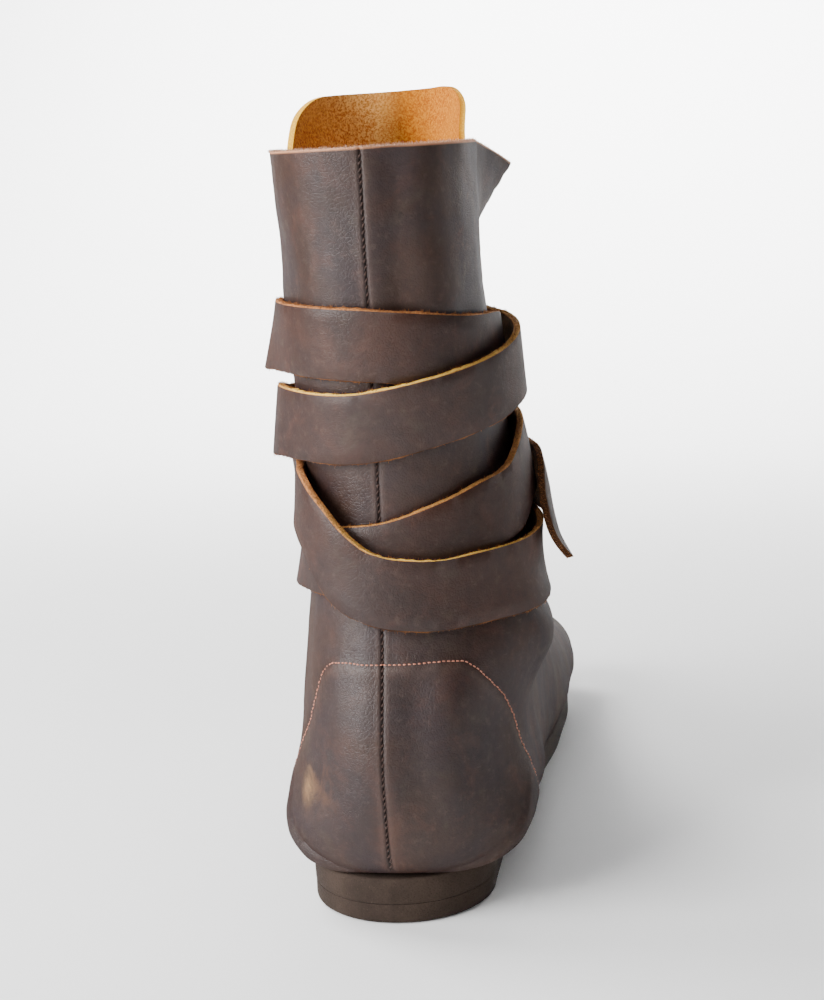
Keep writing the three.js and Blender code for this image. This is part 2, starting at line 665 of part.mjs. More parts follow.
// The upper's outer face as a closed sleeve without throat or lapel, which the strap is wound round.
function sleeve() {
  const steps = 4;
  const around = 30;
  const places = range((COLLAR_RIB - SLEEVE_RIB) * steps + 1).map((i) => SLEEVE_RIB + i / steps);
  const points = [];
  for (const u of places) {
    for (const i of range(2 * around + 1)) {
      const angle = (180 * (i - around)) / around;
      points.push(formPoint(u, angle < 0 ? -1 : 1, Math.abs(angle)));
    }
  }
  const geometry = geometryOf({ points, faces: gridFaces(places.length, 2 * around + 1, false) });
  return new THREE.Mesh(geometry, new THREE.MeshBasicMaterial({ side: THREE.DoubleSide }));
}

function strap() {
  const form = sleeve();
  const courses = Object.fromEntries(
    ["height", "low", "high", "width"].map((name) => [name, curve(strapRows, "turn", name)]),
  );
  const caster = new THREE.Raycaster();
  const middleY = HEEL_BACK + SHAFT_DEPTH / 2;
  const onForm = (turn, z) => {
    const out = vec(-Math.sin(turn * DEGREE), -Math.cos(turn * DEGREE), 0);
    caster.set(vec(0, middleY, z), out);
    return caster.intersectObject(form)[0].point;
  };
  const heightAt = (turn) => courses.height(turn) * SHAFT_HEIGHT;
  const layer = STRAP_THICKNESS + STRAP_GAP;
  const first = strapRows[0].turn;
  const end = strapRows[strapRows.length - 1].turn;
  const turns = [];
  for (let turn = first; turn < end; turn += turn < TAIL_FROM ? STRAP_STEP : TAIL_STEP) turns.push(turn);
  turns.push(end);
  const lines = turns.map((turn) => {
    const z = heightAt(turn);
    const here = onForm(turn, z);
    const radius = Math.hypot(here.x, here.y - middleY);
    const step = 2;
    const rise = heightAt(Math.min(end, turn + step)) - heightAt(Math.max(first, turn - step));
    const run = radius * DEGREE * (Math.min(end, turn + step) - Math.max(first, turn - step));
    const slope = Math.atan2(rise, run);
    const half = (STRAP_WIDTH / 2) * courses.width(turn);
    return [-1, 0, 1].map((edge) => {
      const aside = (edge * half * Math.sin(slope)) / radius / DEGREE;
      return onForm(turn - aside, z + edge * half * Math.cos(slope));
    });
  });
  const rings = lines.map((line, i) => {
    const before = lines[Math.max(0, i - 1)][1];
    const after = lines[Math.min(lines.length - 1, i + 1)][1];
    const across = line[2].clone().sub(line[0]);
    const normal = across.cross(after.clone().sub(before)).normalize();
    if (normal.dot(vec(line[1].x, line[1].y - middleY, 0)) < 0) normal.negate();
    const lifts = [-1, 0, 1].map((edge) => {
      const low = courses.low(turns[i]);
      const high = courses.high(turns[i]);
      return STRAP_CLEARANCE + layer * Math.max(0, mix(low, high, (edge + 1) / 2));
    });
    const inside = line.map((p, k) => p.clone().addScaledVector(normal, lifts[k]));
    const outside = inside.map((p) => p.clone().addScaledVector(normal, STRAP_THICKNESS));
    return [...inside, ...outside.reverse()];
  });
  return outward(skin(rings));
}

function geometryOf({ points, faces }) {
  const geometry = new THREE.BufferGeometry();
  const positions = new Float32Array(points.flatMap((p) => [p.x, p.y, p.z]));
  geometry.setAttribute("position", new THREE.BufferAttribute(positions, 3));
  geometry.setIndex(faces.flat());
  const merged = mergeVertices(geometry, 1e-4);
  merged.computeVertexNormals();
  return merged;
}

function finish(color, roughness) {
  return new THREE.MeshStandardMaterial({ color, roughness, metalness: 0 });
}
const leather = finish(0x3a2c27, 0.5);
const rubber = finish(0x37302a, 0.85);
const board = finish(0x9a7350, 0.8);
const suede = finish(0xb98149, 0.9);

const boot = new THREE.Group();
boot.name = "viking_boot";
function add(name, shape, material) {
  const mesh = new THREE.Mesh(geometryOf(shape), material);
  mesh.name = name;
  boot.add(mesh);
}
add("outsole", outsole(), rubber);
add("heel_lift", heelLift(), rubber);
add("insole", insole(), board);
add("upper", upper(), leather);
add("tongue", tongue(), suede);
add("strap", strap(), leather);

export default boot;
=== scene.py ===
"""The looks of a viking boot for the left foot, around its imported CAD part.

Sizes are in millimetres until a mesh is made. +Z is up, +Y points to the toe, +X to the inner side.
"""

import math

import bpy
import numpy as np
from mathutils import Matrix, Vector
from mathutils.bvhtree import BVHTree


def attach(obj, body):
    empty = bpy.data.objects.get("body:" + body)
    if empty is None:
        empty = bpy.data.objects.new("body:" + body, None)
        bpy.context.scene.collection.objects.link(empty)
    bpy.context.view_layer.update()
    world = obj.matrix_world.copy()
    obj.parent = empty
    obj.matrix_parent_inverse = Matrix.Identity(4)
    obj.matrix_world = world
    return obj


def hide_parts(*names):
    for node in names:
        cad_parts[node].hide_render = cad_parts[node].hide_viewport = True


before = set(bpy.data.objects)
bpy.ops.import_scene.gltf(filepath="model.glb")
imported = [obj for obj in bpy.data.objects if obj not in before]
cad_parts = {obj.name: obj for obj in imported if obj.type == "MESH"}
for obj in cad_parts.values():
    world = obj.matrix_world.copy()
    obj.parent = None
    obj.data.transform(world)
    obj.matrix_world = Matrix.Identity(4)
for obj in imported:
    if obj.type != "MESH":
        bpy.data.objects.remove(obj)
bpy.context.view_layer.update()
random = np.random.default_rng(7)

# Sizes

SOLE_LENGTH = 288.0
BALL_WIDTH = 98.0
HEEL_WIDTH = 68.0
HEEL_LENGTH = 72.0
SOLE_THICKNESS = 10.0
LIFT_THICKNESS = 7.5
TOE_SPRING = 9.0
INSTEP_HEIGHT = 115.0
SHAFT_HEIGHT = 275.0
SHAFT_WIDTH = 73.0
SHAFT_DEPTH = 117.0
WALL = 2.2
FEATHER_INSET = 2.0
ANKLE_BULGE = 11.0
LASTING_MARGIN = 8.0
HEEL_ROLL = 7.0
ROLL_HEIGHT = 14.0
THROAT_GAP = 20.0
LAPEL = 26.0
LAPEL_DROP = 52.0
LAPEL_FOLD = {"from": 34.0, "to": 84.0, "forward": 0.3, "down": 0.38, "rise": 1.1, "ease": 1.6, "cut": 20.0}
COUNTER_HEIGHT = 97.0
COUNTER_STEP = 0.7
TONGUE_THICKNESS = 2.2
TONGUE_RISE = 20.0
TONGUE_CORNER = 24.0
TONGUE_CROWN = {"inner": 4.5, "outer": 7.0}
TONGUE_LEAN = 2.0
INSOLE_THICKNESS = 3.0
STRAP_WIDTH = 25.0
STRAP_THICKNESS = 2.6
STRAP_GAP = 0.3
FIT = 0.3
SEAT = 0.4
TONGUE_CLEARANCE = 1.2
STRAP_CLEARANCE = 0.6
INSOLE_CLEARANCE = 2.4

HEEL_BACK = -HEEL_LENGTH / 2
HEEL_TOP = LIFT_THICKNESS + SOLE_THICKNESS
MIDDLE_Y = HEEL_BACK + SHAFT_DEPTH / 2
LEAST_HALF = 0.05


def smooth(a, b, t):
    s = np.clip((t - a) / (b - a), 0, 1)
    return s * s * (3 - 2 * s)


def mix(a, b, t):
    return a + (b - a) * t


def bell(distance, width):
    return np.exp(-((distance / width) ** 2))


def curve(keys, values):
    """A smooth curve through a table's column, for whole arrays."""
    x, y = np.array(keys, float), np.array(values, float)
    slope = np.diff(y) / np.diff(x)
    tangent = np.empty_like(y)
    tangent[0], tangent[-1] = slope[0], slope[-1]
    w = (x[1:-1] - x[:-2]) / (x[2:] - x[:-2])
    tangent[1:-1] = mix(slope[:-1], slope[1:], w)

    def at(t):
        t = np.asarray(t, float)
        i = np.clip(np.searchsorted(x, t, side="left") - 1, 0, len(x) - 2)
        step = x[i + 1] - x[i]
        s = np.clip((t - x[i]) / step, 0, 1)
        a = y[i] + s * s * (3 - 2 * s) * (y[i + 1] - y[i])
        b = s * (1 - s) ** 2 * step * tangent[i]
        c = s * s * (s - 1) * step * tangent[i + 1]
        return a + b + c

    return at


def columns(names, rows):
    return dict(zip(names.split(), np.array(rows, float).T))


# Sole

sole_rows = columns("along heel ball middle", [
    [0.0, 0.5, 0.0, -0.012],
    [0.14, 0.5, 0.0, -0.012],
    [0.25, 0.41, 0.06, -0.004],
    [0.33, 0.25, 0.18, -0.006],
    [0.445, 0.08, 0.34, -0.015],
    [0.57, 0.0, 0.46, -0.03],
    [0.66, 0.0, 0.495, -0.032],
    [0.76, 0.0, 0.5, -0.022],
    [0.85, 0.0, 0.485, 0.02],
    [0.93, 0.0, 0.46, 0.07],
    [1.0, 0.0, 0.44, 0.12],
])
sole_curves = {name: curve(sole_rows["along"], row) for name, row in sole_rows.items()}
# Shares of the sole's length: where its round end starts, the arch is and the toe springs.
TOE_FROM, TOE_POWER = 0.77, 2.3
ARCH_FROM, ARCH_TO = 0.27, 0.5
SPRING_FROM, SPRING_POWER = 0.72, 1.7


def y_of(along):
    return HEEL_BACK + along * SOLE_LENGTH


def along_of(y):
    return (y - HEEL_BACK) / SOLE_LENGTH


def sole_edges(y, inset):
    """Inner edge, outer edge and middle of the sole at y."""
    along = np.clip(along_of(y), 0, 1)
    middle, heel, ball = (sole_curves[name](along) for name in ("middle", "heel", "ball"))
    middle = middle * BALL_WIDTH
    full = heel * HEEL_WIDTH + ball * BALL_WIDTH
    radius = HEEL_WIDTH / 2 - inset
    heel = np.clip((radius - (y - HEEL_BACK - inset)) / radius, 0, 1)
    toe_start = y_of(TOE_FROM)
    toe = np.clip((y - toe_start) / (y_of(1) - inset - toe_start), 0, 1)
    share = np.sqrt(1 - heel * heel) * (1 - toe**TOE_POWER) ** (1 / TOE_POWER)
    half = np.maximum(LEAST_HALF, (full - inset) * share)
    return middle + half, middle - half, middle


def sole_bottom(y):
    along = along_of(y)
    arch = 1 - smooth(ARCH_FROM, ARCH_TO, along)
    spring = np.clip((along - SPRING_FROM) / (1 - SPRING_FROM), 0, 1) ** SPRING_POWER
    return LIFT_THICKNESS * arch + TOE_SPRING * spring


def sole_top(y):
    return sole_bottom(y) + SOLE_THICKNESS


def sole_stations(inset, heel_steps, middle_steps, toe_steps):
    heel_end, toe_start = HEEL_BACK + HEEL_WIDTH / 2, y_of(TOE_FROM)
    heel = mix(heel_end, HEEL_BACK + inset, np.cos(np.pi / 2 * np.arange(heel_steps) / heel_steps))
    middle = mix(heel_end, toe_start, np.arange(middle_steps) / middle_steps)
    toe = mix(toe_start, y_of(1) - inset, np.sin(np.pi / 2 * np.arange(toe_steps + 1) / toe_steps))
    return np.concatenate([heel, middle, toe])


# Upper

foot_rows = columns("frontAlong frontUp soleAlong crest inner outer low round under", [
    [1.008, 0.09, 1.002, 0.12, 0.12, -0.12, 0.5, 2.0, 2.2],
    [1.003, 0.17, 0.996, 0.12, 0.27, 0.04, 0.48, 2.2, 2.3],
    [0.988, 0.24, 0.982, 0.12, 0.375, 0.16, 0.46, 2.4, 2.4],
    [0.955, 0.31, 0.952, 0.115, 0.46, 0.295, 0.3, 2.2, 2.4],
    [0.9, 0.38, 0.9, 0.105, 0.495, 0.415, 0.22, 2.05, 2.4],
    [0.82, 0.475, 0.82, 0.085, 0.5, 0.5, 0.2, 2.05, 2.4],
    [0.73, 0.595, 0.73, 0.065, 0.49, 0.54, 0.24, 2.1, 2.4],
    [0.64, 0.72, 0.64, 0.05, 0.475, 0.545, 0.27, 2.2, 2.4],
    [0.56, 0.84, 0.565, 0.035, 0.462, 0.52, 0.34, 2.3, 2.5],
    [0.495, 0.925, 0.49, 0.025, 0.455, 0.485, 0.41, 2.3, 2.6],
    [0.45, 0.985, 0.4, 0.015, 0.455, 0.45, 0.48, 2.35, 2.8],
    [0.422, 1.03, 0.305, 0.01, 0.45, 0.425, 0.5, 2.3, 2.9],
])
leg_rows = columns("frontUp frontOut backAlong backUp crest seam inner outer low round under", [
    [0.035, 1.01, 0.9, 0.0, 0.01, -0.01, 0.62, 0.545, 0.5, 2.3, 3.0],
    [0.07, 0.992, 0.56, 0.0, 0.01, -0.01, 0.62, 0.53, 0.5, 2.3, 3.1],
    [0.105, 0.978, 0.3, 0.0, 0.005, -0.01, 0.62, 0.52, 0.5, 2.3, 3.3],
    [0.14, 0.969, 0.14, 0.0, 0.005, -0.01, 0.62, 0.515, 0.5, 2.3, 3.5],
    [0.17, 0.963, 0.055, 0.002, 0.0, -0.01, 0.622, 0.51, 0.51, 2.3, 3.4],
    [0.2, 0.958, -0.02, 0.015, 0.0, -0.01, 0.625, 0.506, 0.53, 2.3, 2.8],
    [0.235, 0.953, -0.08, 0.045, 0.0, -0.005, 0.63, 0.502, 0.55, 2.3, 2.4],
    [0.27, 0.949, -0.125, 0.1, -0.005, 0.0, 0.635, 0.485, 0.57, 2.3, 2.2],
    [0.31, 0.945, -0.125, 0.165, -0.005, 0.0, 0.64, 0.465, 0.59, 2.3, 2.2],
    [0.35, 0.942, -0.08, 0.235, -0.01, 0.005, 0.635, 0.448, 0.6, 2.3, 2.2],
    [0.395, 0.94, 0.0, 0.31, -0.015, 0.01, 0.62, 0.438, 0.6, 2.25, 2.2],
    [0.45, 0.94, 0.06, 0.395, -0.02, 0.015, 0.595, 0.438, 0.59, 2.2, 2.2],
    [0.52, 0.942, 0.085, 0.495, -0.025, 0.025, 0.56, 0.452, 0.57, 2.15, 2.2],
    [0.62, 0.945, 0.07, 0.61, -0.03, 0.035, 0.53, 0.48, 0.54, 2.1, 2.2],
    [0.74, 0.95, 0.02, 0.735, -0.035, 0.045, 0.5, 0.492, 0.52, 2.1, 2.2],
    [0.87, 0.958, -0.035, 0.86, -0.035, 0.055, 0.482, 0.492, 0.5, 2.1, 2.2],
    [1.0, 0.966, -0.08, 1.0, -0.03, 0.065, 0.482, 0.525, 0.5, 2.1, 2.2],
    [1.2, 0.976, -0.13, 1.2, -0.02, 0.07, 0.49, 0.54, 0.5, 2.1, 2.2],
])
foot_rows["seam"] = foot_rows["crest"]
FOOT_RIBS = len(foot_rows["crest"])
RIBS = FOOT_RIBS + len(leg_rows["crest"])
# How far the vamp's ridge follows the toe's spring.
RIDGE_SPRING = 0.75


def section_of(rows, width):
    """A rib's section: low, round and under are plain numbers, the rest are shares of a width."""
    scales = dict(low=1, round=1, under=1, crest=width, seam=width, inner=width, outer=width)
    return {name: rows[name] * scale for name, scale in scales.items()}


front_y = y_of(foot_rows["frontAlong"])
back_y = y_of(foot_rows["soleAlong"])
ridge = mix(SOLE_THICKNESS, INSTEP_HEIGHT, foot_rows["frontUp"])
foot_ribs = {
    "frontY": front_y,
    "frontZ": ridge + (sole_top(front_y) - SOLE_THICKNESS) * RIDGE_SPRING,
    "backY": back_y,
    "backZ": sole_top(np.minimum(back_y, y_of(1))) + SEAT,
    **section_of(foot_rows, BALL_WIDTH),
}
foot_ribs["backZ"][0] = foot_ribs["frontZ"][0]
foot_ribs["backY"][0] = foot_ribs["frontY"][0]
leg_ribs = {
    "frontY": HEEL_BACK + leg_rows["frontOut"] * SHAFT_DEPTH,
    "frontZ": mix(INSTEP_HEIGHT, SHAFT_HEIGHT, leg_rows["frontUp"]),
    "backY": HEEL_BACK + leg_rows["backAlong"] * HEEL_WIDTH,
    "backZ": mix(HEEL_TOP + SEAT, SHAFT_HEIGHT, leg_rows["backUp"]),
    **section_of(leg_rows, SHAFT_WIDTH),
}
rib_curves = {}
for name in leg_ribs:
    rib_curves[name] = curve(range(RIBS), np.concatenate([foot_ribs[name], leg_ribs[name]]))
# Ribs where a part starts: the collar, the throat, the back seam and the strap's sleeve.
COLLAR_RIB = RIBS - 2
THROAT_RIB = 8.4
SEAM_RIB = FOOT_RIBS + 5
SLEEVE_RIB = 6
# The throat opens within so many ribs to this share of its gap, and to all of it at the collar.
THROAT_OPENS, THROAT_SHARE = 3, 0.45
# How sharp the roll over the sole is, and what is left of it towards the toe.
ROLL_POWER = 1.7
ROLL_LEFT = dict(share=0.25, start=0.2, end=0.55)


def rib_at(u):
    return {name: at(u) for name, at in rib_curves.items()}


# The leather bulges on the inner side of the ankle, under the strap's lowest turn.
BULGE = dict(y=22, z=94, reach=36, spread=17)


def inside_sole(y):
    return (y > HEEL_BACK + FEATHER_INSET) & (y < y_of(1) - FEATHER_INSET)


def form(u, side, angle):
    """Points of the upper's outer face. angle is 0 at the ridge and 180 at the sole or the back seam."""
    u, side, angle = np.broadcast_arrays(np.asarray(u, float), side, np.asarray(angle, float))
    rib = rib_at(u)
    on_sole = (rib["backZ"] < HEEL_TOP + 4 * FIT) | (u < FOOT_RIBS)
    inner, outer, _ = sole_edges(rib["backY"], FEATHER_INSET)
    in_sole = on_sole & inside_sole(rib["backY"])
    feather = np.where(in_sole, np.where(side > 0, inner, outer), rib["seam"])
    widest = np.where(side > 0, rib["inner"], -rib["outer"])
    power = np.where(angle < 90, 2 / rib["round"], 2 / rib["under"])
    across = np.abs(np.sin(np.radians(angle))) ** power
    reach = np.abs(np.cos(np.radians(angle))) ** power
    share = np.where(angle < 90, rib["low"] + (1 - rib["low"]) * reach, rib["low"] * (1 - reach))
    middle = np.where(angle < 90, rib["crest"], feather)
    sway = mix(rib["seam"], rib["crest"], share) * np.where(u < FOOT_RIBS, 0, across)
    y = mix(rib["backY"], rib["frontY"], share)
    z = mix(rib["backZ"], rib["frontZ"], share)
    above = np.maximum(0, z - sole_top(np.clip(y, HEEL_BACK, y_of(1))) - SEAT) / ROLL_HEIGHT
    to_toe = smooth(ROLL_LEFT["start"], ROLL_LEFT["end"], along_of(y))
    heel = mix(1, ROLL_LEFT["share"], to_toe) * np.clip(u, 0, 1)
    roll = HEEL_ROLL * heel * (above * np.exp(1 - above)) ** ROLL_POWER * across
    far = ((y - BULGE["y"]) / BULGE["reach"]) ** 2 + ((z - BULGE["z"]) / BULGE["spread"]) ** 2
    bulge = np.where(side > 0, ANKLE_BULGE * np.exp(-far) * across, 0)
    return np.stack([mix(middle, widest + sway, across) + side * roll + bulge, y, z], -1)


def lapel_height(z):
    return np.clip((z - SHAFT_HEIGHT + LAPEL_DROP) / LAPEL_DROP, 0, 1)


def lapel(points, side, angle):
    fold = LAPEL_FOLD
    high = lapel_height(points[..., 2]) ** fold["rise"]
    near = np.clip((fold["to"] - angle) / (fold["to"] - fold["from"]), 0, 1) ** fold["ease"]
    out = LAPEL * high * near * (np.asarray(side) > 0)
    return points + np.stack([out, fold["forward"] * out, -fold["down"] * out], -1)


# Meshes


def unit(vectors):
    return vectors / np.linalg.norm(vectors, axis=-1, keepdims=True)


def grid_faces(rows, count, flip=False):
    a = (np.arange(rows - 1)[:, None] * count + np.arange(count - 1)[None, :]).ravel()
    quads = np.stack([a, a + count, a + count + 1, a + 1], -1)
    return quads[:, ::-1] if flip else quads


def tube_faces(rings, count, flip=False):
    """Faces between closed rings of points, and a cap at each end."""
    faces = []
    for r in range(rings - 1):
        for k in range(count):
            a, b = r * count + k, r * count + (k + 1) % count
            faces.append([a, a + count, b + count, b] if flip else [a, b, b + count, a + count])
    first, last = list(range(count)), list(range((rings - 1) * count, rings * count))
    return faces + ([first, last[::-1]] if flip else [first[::-1], last])


# Points closer than this part of a millimetre are one.
WELDS = 2000


def weld(points, faces, values):
    """Joins like points, and leaves out faces that have no area."""
    keys = np.round(points * WELDS).astype(np.int64)
    _, first, back = np.unique(keys, axis=0, return_index=True, return_inverse=True)
    back = back.ravel()
    kept = []
    for face in back[faces]:
        ring = [v for k, v in enumerate(face) if v != face[k - 1]]
        if len(set(ring)) >= 3 and len(ring) == len(set(ring)):
            kept.append(ring)
    return points[first], kept, {name: value[first] for name, value in values.items()}


def normals_of(points, faces):
    normals = np.zeros_like(points)
    for size in (3, 4):
        some = np.array([f for f in faces if len(f) == size], int)
        if len(some):
            a, b, c, d = (points[some[:, k]] for k in (0, 1, 2, size - 1))
            n = np.cross(b - a, c - a) if size == 3 else np.cross(c - a, d - b)
            for k in range(size):
                np.add.at(normals, some[:, k], n)
    return normals / np.maximum(np.linalg.norm(normals, axis=1), 1e-9)[:, None]


def thicken(points, faces, normals, outer, inner):
    """A closed wall: points, faces and each face's material, 0 outside, 1 inside and 2 on the edge."""
    count = len(points)
    made = np.concatenate([points + normals * outer, points + normals * inner])
    walls = list(faces) + [[v + count for v in reversed(f)] for f in faces]
    kinds = [0] * len(faces) + [1] * len(faces)
    edges = {(f[k - 1], f[k]) for f in faces for k in range(len(f))}
    for a, b in edges:
        if (b, a) not in edges:
            walls.append([b, a, a + count, b + count])
            kinds.append(2)
    return made, walls, kinds


def add_object(name, data):
    made = bpy.data.objects.new(name, data)
    bpy.context.scene.collection.objects.link(made)
    return made


def add_piece(name, points, faces, looks, node=None, kinds=None, marks=None, smooth_angle=180):
    """Adds a piece. kinds say which of its looks each face has, marks hold a value for each point."""
    mesh = bpy.data.meshes.new(name)
    mesh.from_pydata((np.asarray(points) / 1000).tolist(), [], [list(map(int, f)) for f in faces])
    for look in looks:
        mesh.materials.append(look)
    if kinds:
        mesh.polygons.foreach_set("material_index", np.array(kinds, np.int32))
    for mark, value in (marks or {}).items():
        attribute = mesh.attributes.new(mark, "FLOAT", "POINT")
        attribute.data.foreach_set("value", np.asarray(value, np.float32))
    mesh.shade_smooth()
    mesh.set_sharp_from_angle(angle=math.radians(smooth_angle))
    mesh.update()
    piece = add_object(name, mesh)
    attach(piece, "root")
    if node:
        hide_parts(node)


def waves(points, length, seed):
    """A soft, repeatable unevenness from -1 to 1 with bumps of about this length."""
    pick, count = np.random.default_rng(seed), 7
    total = np.zeros(len(points))
    for _ in range(count):
        way = unit(pick.normal(size=3))
        turn = 2 * np.pi / (length * pick.uniform(0.7, 1.6))
        total += np.sin(points @ way * turn + pick.uniform(0, 6.3))
    return total / (count / 2)


# Materials

# The sockets of a Mix node's factor, two colours and result.
FACTOR, FIRST, SECOND, RESULT = 0, 6, 7, 2


class Paint:
    """A material's nodes, written one after another."""

    def __init__(self, name):
        self.material = bpy.data.materials.new(name)
        self.material.use_nodes = True
        self.tree = self.material.node_tree
        self.shader = self.tree.nodes["Principled BSDF"]
        self.place = self.add("ShaderNodeTexCoord").outputs["Object"]

    def add(self, kind, settings=None, **inputs):
        node = self.tree.nodes.new(kind)
        for key, value in (settings or {}).items():
            setattr(node, key, value)
        for key, value in inputs.items():
            self.join(node.inputs[key.replace("_", " ")], value)
        return node

    def join(self, socket, value):
        if isinstance(value, bpy.types.NodeSocket):
            self.tree.links.new(value, socket)
        else:
            socket.default_value = value

    def noise(self, scale, detail=3.0, rough=0.55, place=None, warp=0.0):
        inputs = dict(Scale=scale, Detail=detail, Roughness=rough, Distortion=warp)
        return self.add("ShaderNodeTexNoise", Vector=place or self.place, **inputs).outputs["Fac"]

    def cells(self, scale, feature="F1"):
        node = self.add("ShaderNodeTexVoronoi", {"feature": feature}, Scale=scale, Vector=self.place)
        return node.outputs["Distance"]

    def stretch(self, *scale):
        return self.add("ShaderNodeMapping", Scale=scale, Vector=self.place).outputs["Vector"]

    def value(self, name):
        return self.add("ShaderNodeAttribute", {"attribute_name": name}).outputs["Fac"]

    def ramp(self, fac, low, high, to_low=0.0, to_high=1.0):
        kind = {"interpolation_type": "SMOOTHSTEP"}
        ends = dict(From_Min=low, From_Max=high, To_Min=to_low, To_Max=to_high)
        return self.add("ShaderNodeMapRange", kind, Value=fac, **ends).outputs["Result"]

    def math(self, operation, a, b):
        node = self.add("ShaderNodeMath", {"operation": operation})
        self.join(node.inputs[0], a)
        self.join(node.inputs[1], b)
        return node.outputs[0]

    def total(self, value, *rest):
        """A value and, added to it, pairs of a value and its weight."""
        for more, weight in rest:
            value = self.math("ADD", value, self.math("MULTIPLY", more, weight))
        return value

    def blend(self, fac, a, b, kind="MIX"):
        node = self.add("ShaderNodeMix", {"data_type": "RGBA", "blend_type": kind})
        for socket, value in ((FACTOR, fac), (FIRST, a), (SECOND, b)):
            self.join(node.inputs[socket], value)
        return node.outputs[RESULT]

    def layers(self, color, *rows):
        """Colours laid over the first one in turn, each with how much of it shows."""
        for fac, over in rows:
            color = self.blend(fac, color, over)
        return color

    def bump(self, height, distance, strength):
        node = self.add("ShaderNodeBump", Strength=strength, Distance=distance, Height=height)
        return node.outputs["Normal"]

    def finish(self, color, roughness, normal=None, **fixed):
        self.join(self.shader.inputs["Base Color"], color)
        self.join(self.shader.inputs["Roughness"], roughness)
        if normal is not None:
            self.join(self.shader.inputs["Normal"], normal)
            self.join(self.shader.inputs["Coat Normal"], normal)
        for key, value in fixed.items():
            self.shader.inputs[key.replace("_", " ")].default_value = value
        return self.material


def rgb(red, green, blue):
    """An sRGB colour of 0 to 255 as a linear colour."""
    parts = [c / 255 for c in (red, green, blue)]
    return (*[c / 12.92 if c <= 0.04045 else ((c + 0.055) / 1.055) ** 2.4 for c in parts], 1.0)


# The oiled leather's soft shine.
OIL = dict(Coat_Weight=0.13, Coat_IOR=2.6, Coat_Roughness=0.38)


def leather(name, cool, warm, dark, rough=0.5):
    """Oiled leather: fine pebbled grain, cloudy colour, and paler where it is bent or rubbed."""
    p = Paint(name)
    clouds = p.noise(22, 4, 0.6, warp=0.4)
    patches = p.noise(75, 5, 0.68, warp=0.5)
    streaks = p.noise(30, 5, 0.7, p.stretch(1, 1, 0.28))
    mottle = p.noise(330, 5, 0.72)
    scratches = p.noise(210, 4, 0.6, p.stretch(0.5, 0.5, 4.5))
    wrinkles = p.noise(170, 4, 0.62, p.stretch(1, 1, 3.2), warp=0.6)
    lumps = p.noise(180, 3, 0.6)
    fine = p.noise(2600, 3, 0.6)
    pores = p.cells(1500, "SMOOTH_F1")
    pebbles = p.cells(720, "DISTANCE_TO_EDGE")
    broken = p.ramp(patches, 0.36, 0.6)
    color = p.layers(
        p.blend(p.ramp(clouds, 0.36, 0.66), cool, warm),
        (p.ramp(streaks, 0.5, 0.78, 0, 0.55), dark),
        (p.ramp(patches, 0.5, 0.74, 0, 0.36), rgb(78, 48, 38)),
        (p.ramp(patches, 0.46, 0.28, 0, 0.3), rgb(66, 56, 46)),
        (p.ramp(mottle, 0.52, 0.75, 0, 0.24), rgb(92, 74, 66)),
        (p.ramp(mottle, 0.48, 0.28, 0, 0.35), dark),
        (p.ramp(scratches, 0.66, 0.76, 0, 0.16), rgb(108, 90, 80)),
        (p.math("MULTIPLY", p.value("rusty"), broken), rgb(98, 60, 44)),
        (p.value("pale"), rgb(118, 98, 88)),
        (p.math("MULTIPLY", p.value("golden"), broken), rgb(158, 122, 82)),
        # shade: the dark joints of the back seam and the counter's edge, and a painted shade spot on the heel
        (p.value("shade"), rgb(20, 13, 11)),
        (p.value("rim"), rgb(198, 138, 100)),
        (p.ramp(pores, 0.0, 0.32, 0.28, 0.0), dark),
    )
    height = p.total(p.ramp(pebbles, 0.0, 0.16, 0.0, 0.5), (fine, 0.9), (lumps, 1.1), (wrinkles, 0.6))
    roughness = p.total(p.ramp(patches, 0.3, 0.7, rough - 0.07, rough + 0.08), (fine, 0.08))
    return p.finish(color, roughness, p.bump(height, 0.0002, 0.6), Specular_IOR_Level=0.0, **OIL)


def flesh(name, light, deep, scale=1.0):
    """The rough side or the cut edge of leather: short fibres with dark roots."""
    p = Paint(name)
    nap = p.noise(1150 * scale, 5, 0.75)
    tufts = p.noise(420 * scale, 4, 0.65, warp=1.2)
    clouds = p.noise(35 * scale, 3, 0.5)
    color = p.layers(
        p.blend(p.ramp(nap, 0.4, 0.6), deep, light),
        (p.ramp(tufts, 0.52, 0.72, 0, 0.4), deep),
        (p.ramp(clouds, 0.35, 0.7, 0, 0.3), light),
    )
    color = p.layers(
        p.blend(p.value("rusty"), color, rgb(232, 188, 84), "MULTIPLY"),
        # golden: on the strap's upper edge a paler cut edge with a painted highlight, elsewhere a scuff's
        # colour
        (p.value("golden"), rgb(255, 208, 96)),
        # shade: painted shade on the tongue's suede and the strap's lower fibres
        (p.value("shade"), rgb(44, 26, 16)),
        # low: painted shade on the strap's lower edge, and a darkening of both edges at its tail
        (p.value("low"), rgb(52, 32, 22)),
    )
    normal = p.bump(p.total(nap, (tufts, 1.2)), 0.0004, 0.9)
    return p.finish(color, 0.95, normal, Specular_IOR_Level=0.1)


def rubber():
    p = Paint("rubber")
    specks = p.cells(1100)
    grit = p.noise(1900, 4, 0.7)
    clouds = p.noise(30, 4, 0.6)
    color = p.layers(
        p.blend(p.ramp(clouds, 0.35, 0.68), rgb(46, 37, 32), rgb(60, 49, 42)),
        (p.ramp(specks, 0.1, 0.34, 0.5, 0.0), rgb(30, 24, 21)),
        (p.ramp(grit, 0.58, 0.72, 0.0, 0.4), rgb(96, 82, 70)),
    )
    normal = p.bump(p.total(grit, (specks, 0.8)), 0.0002, 0.7)
    return p.finish(color, 0.85, normal, Specular_IOR_Level=0.12)


def thread(name, light, deep):
    p = Paint(name)
    color = p.blend(p.noise(1200, 2), deep, light)
    return p.finish(color, 0.7, p.bump(p.noise(2500, 2), 0.0001, 0.6))


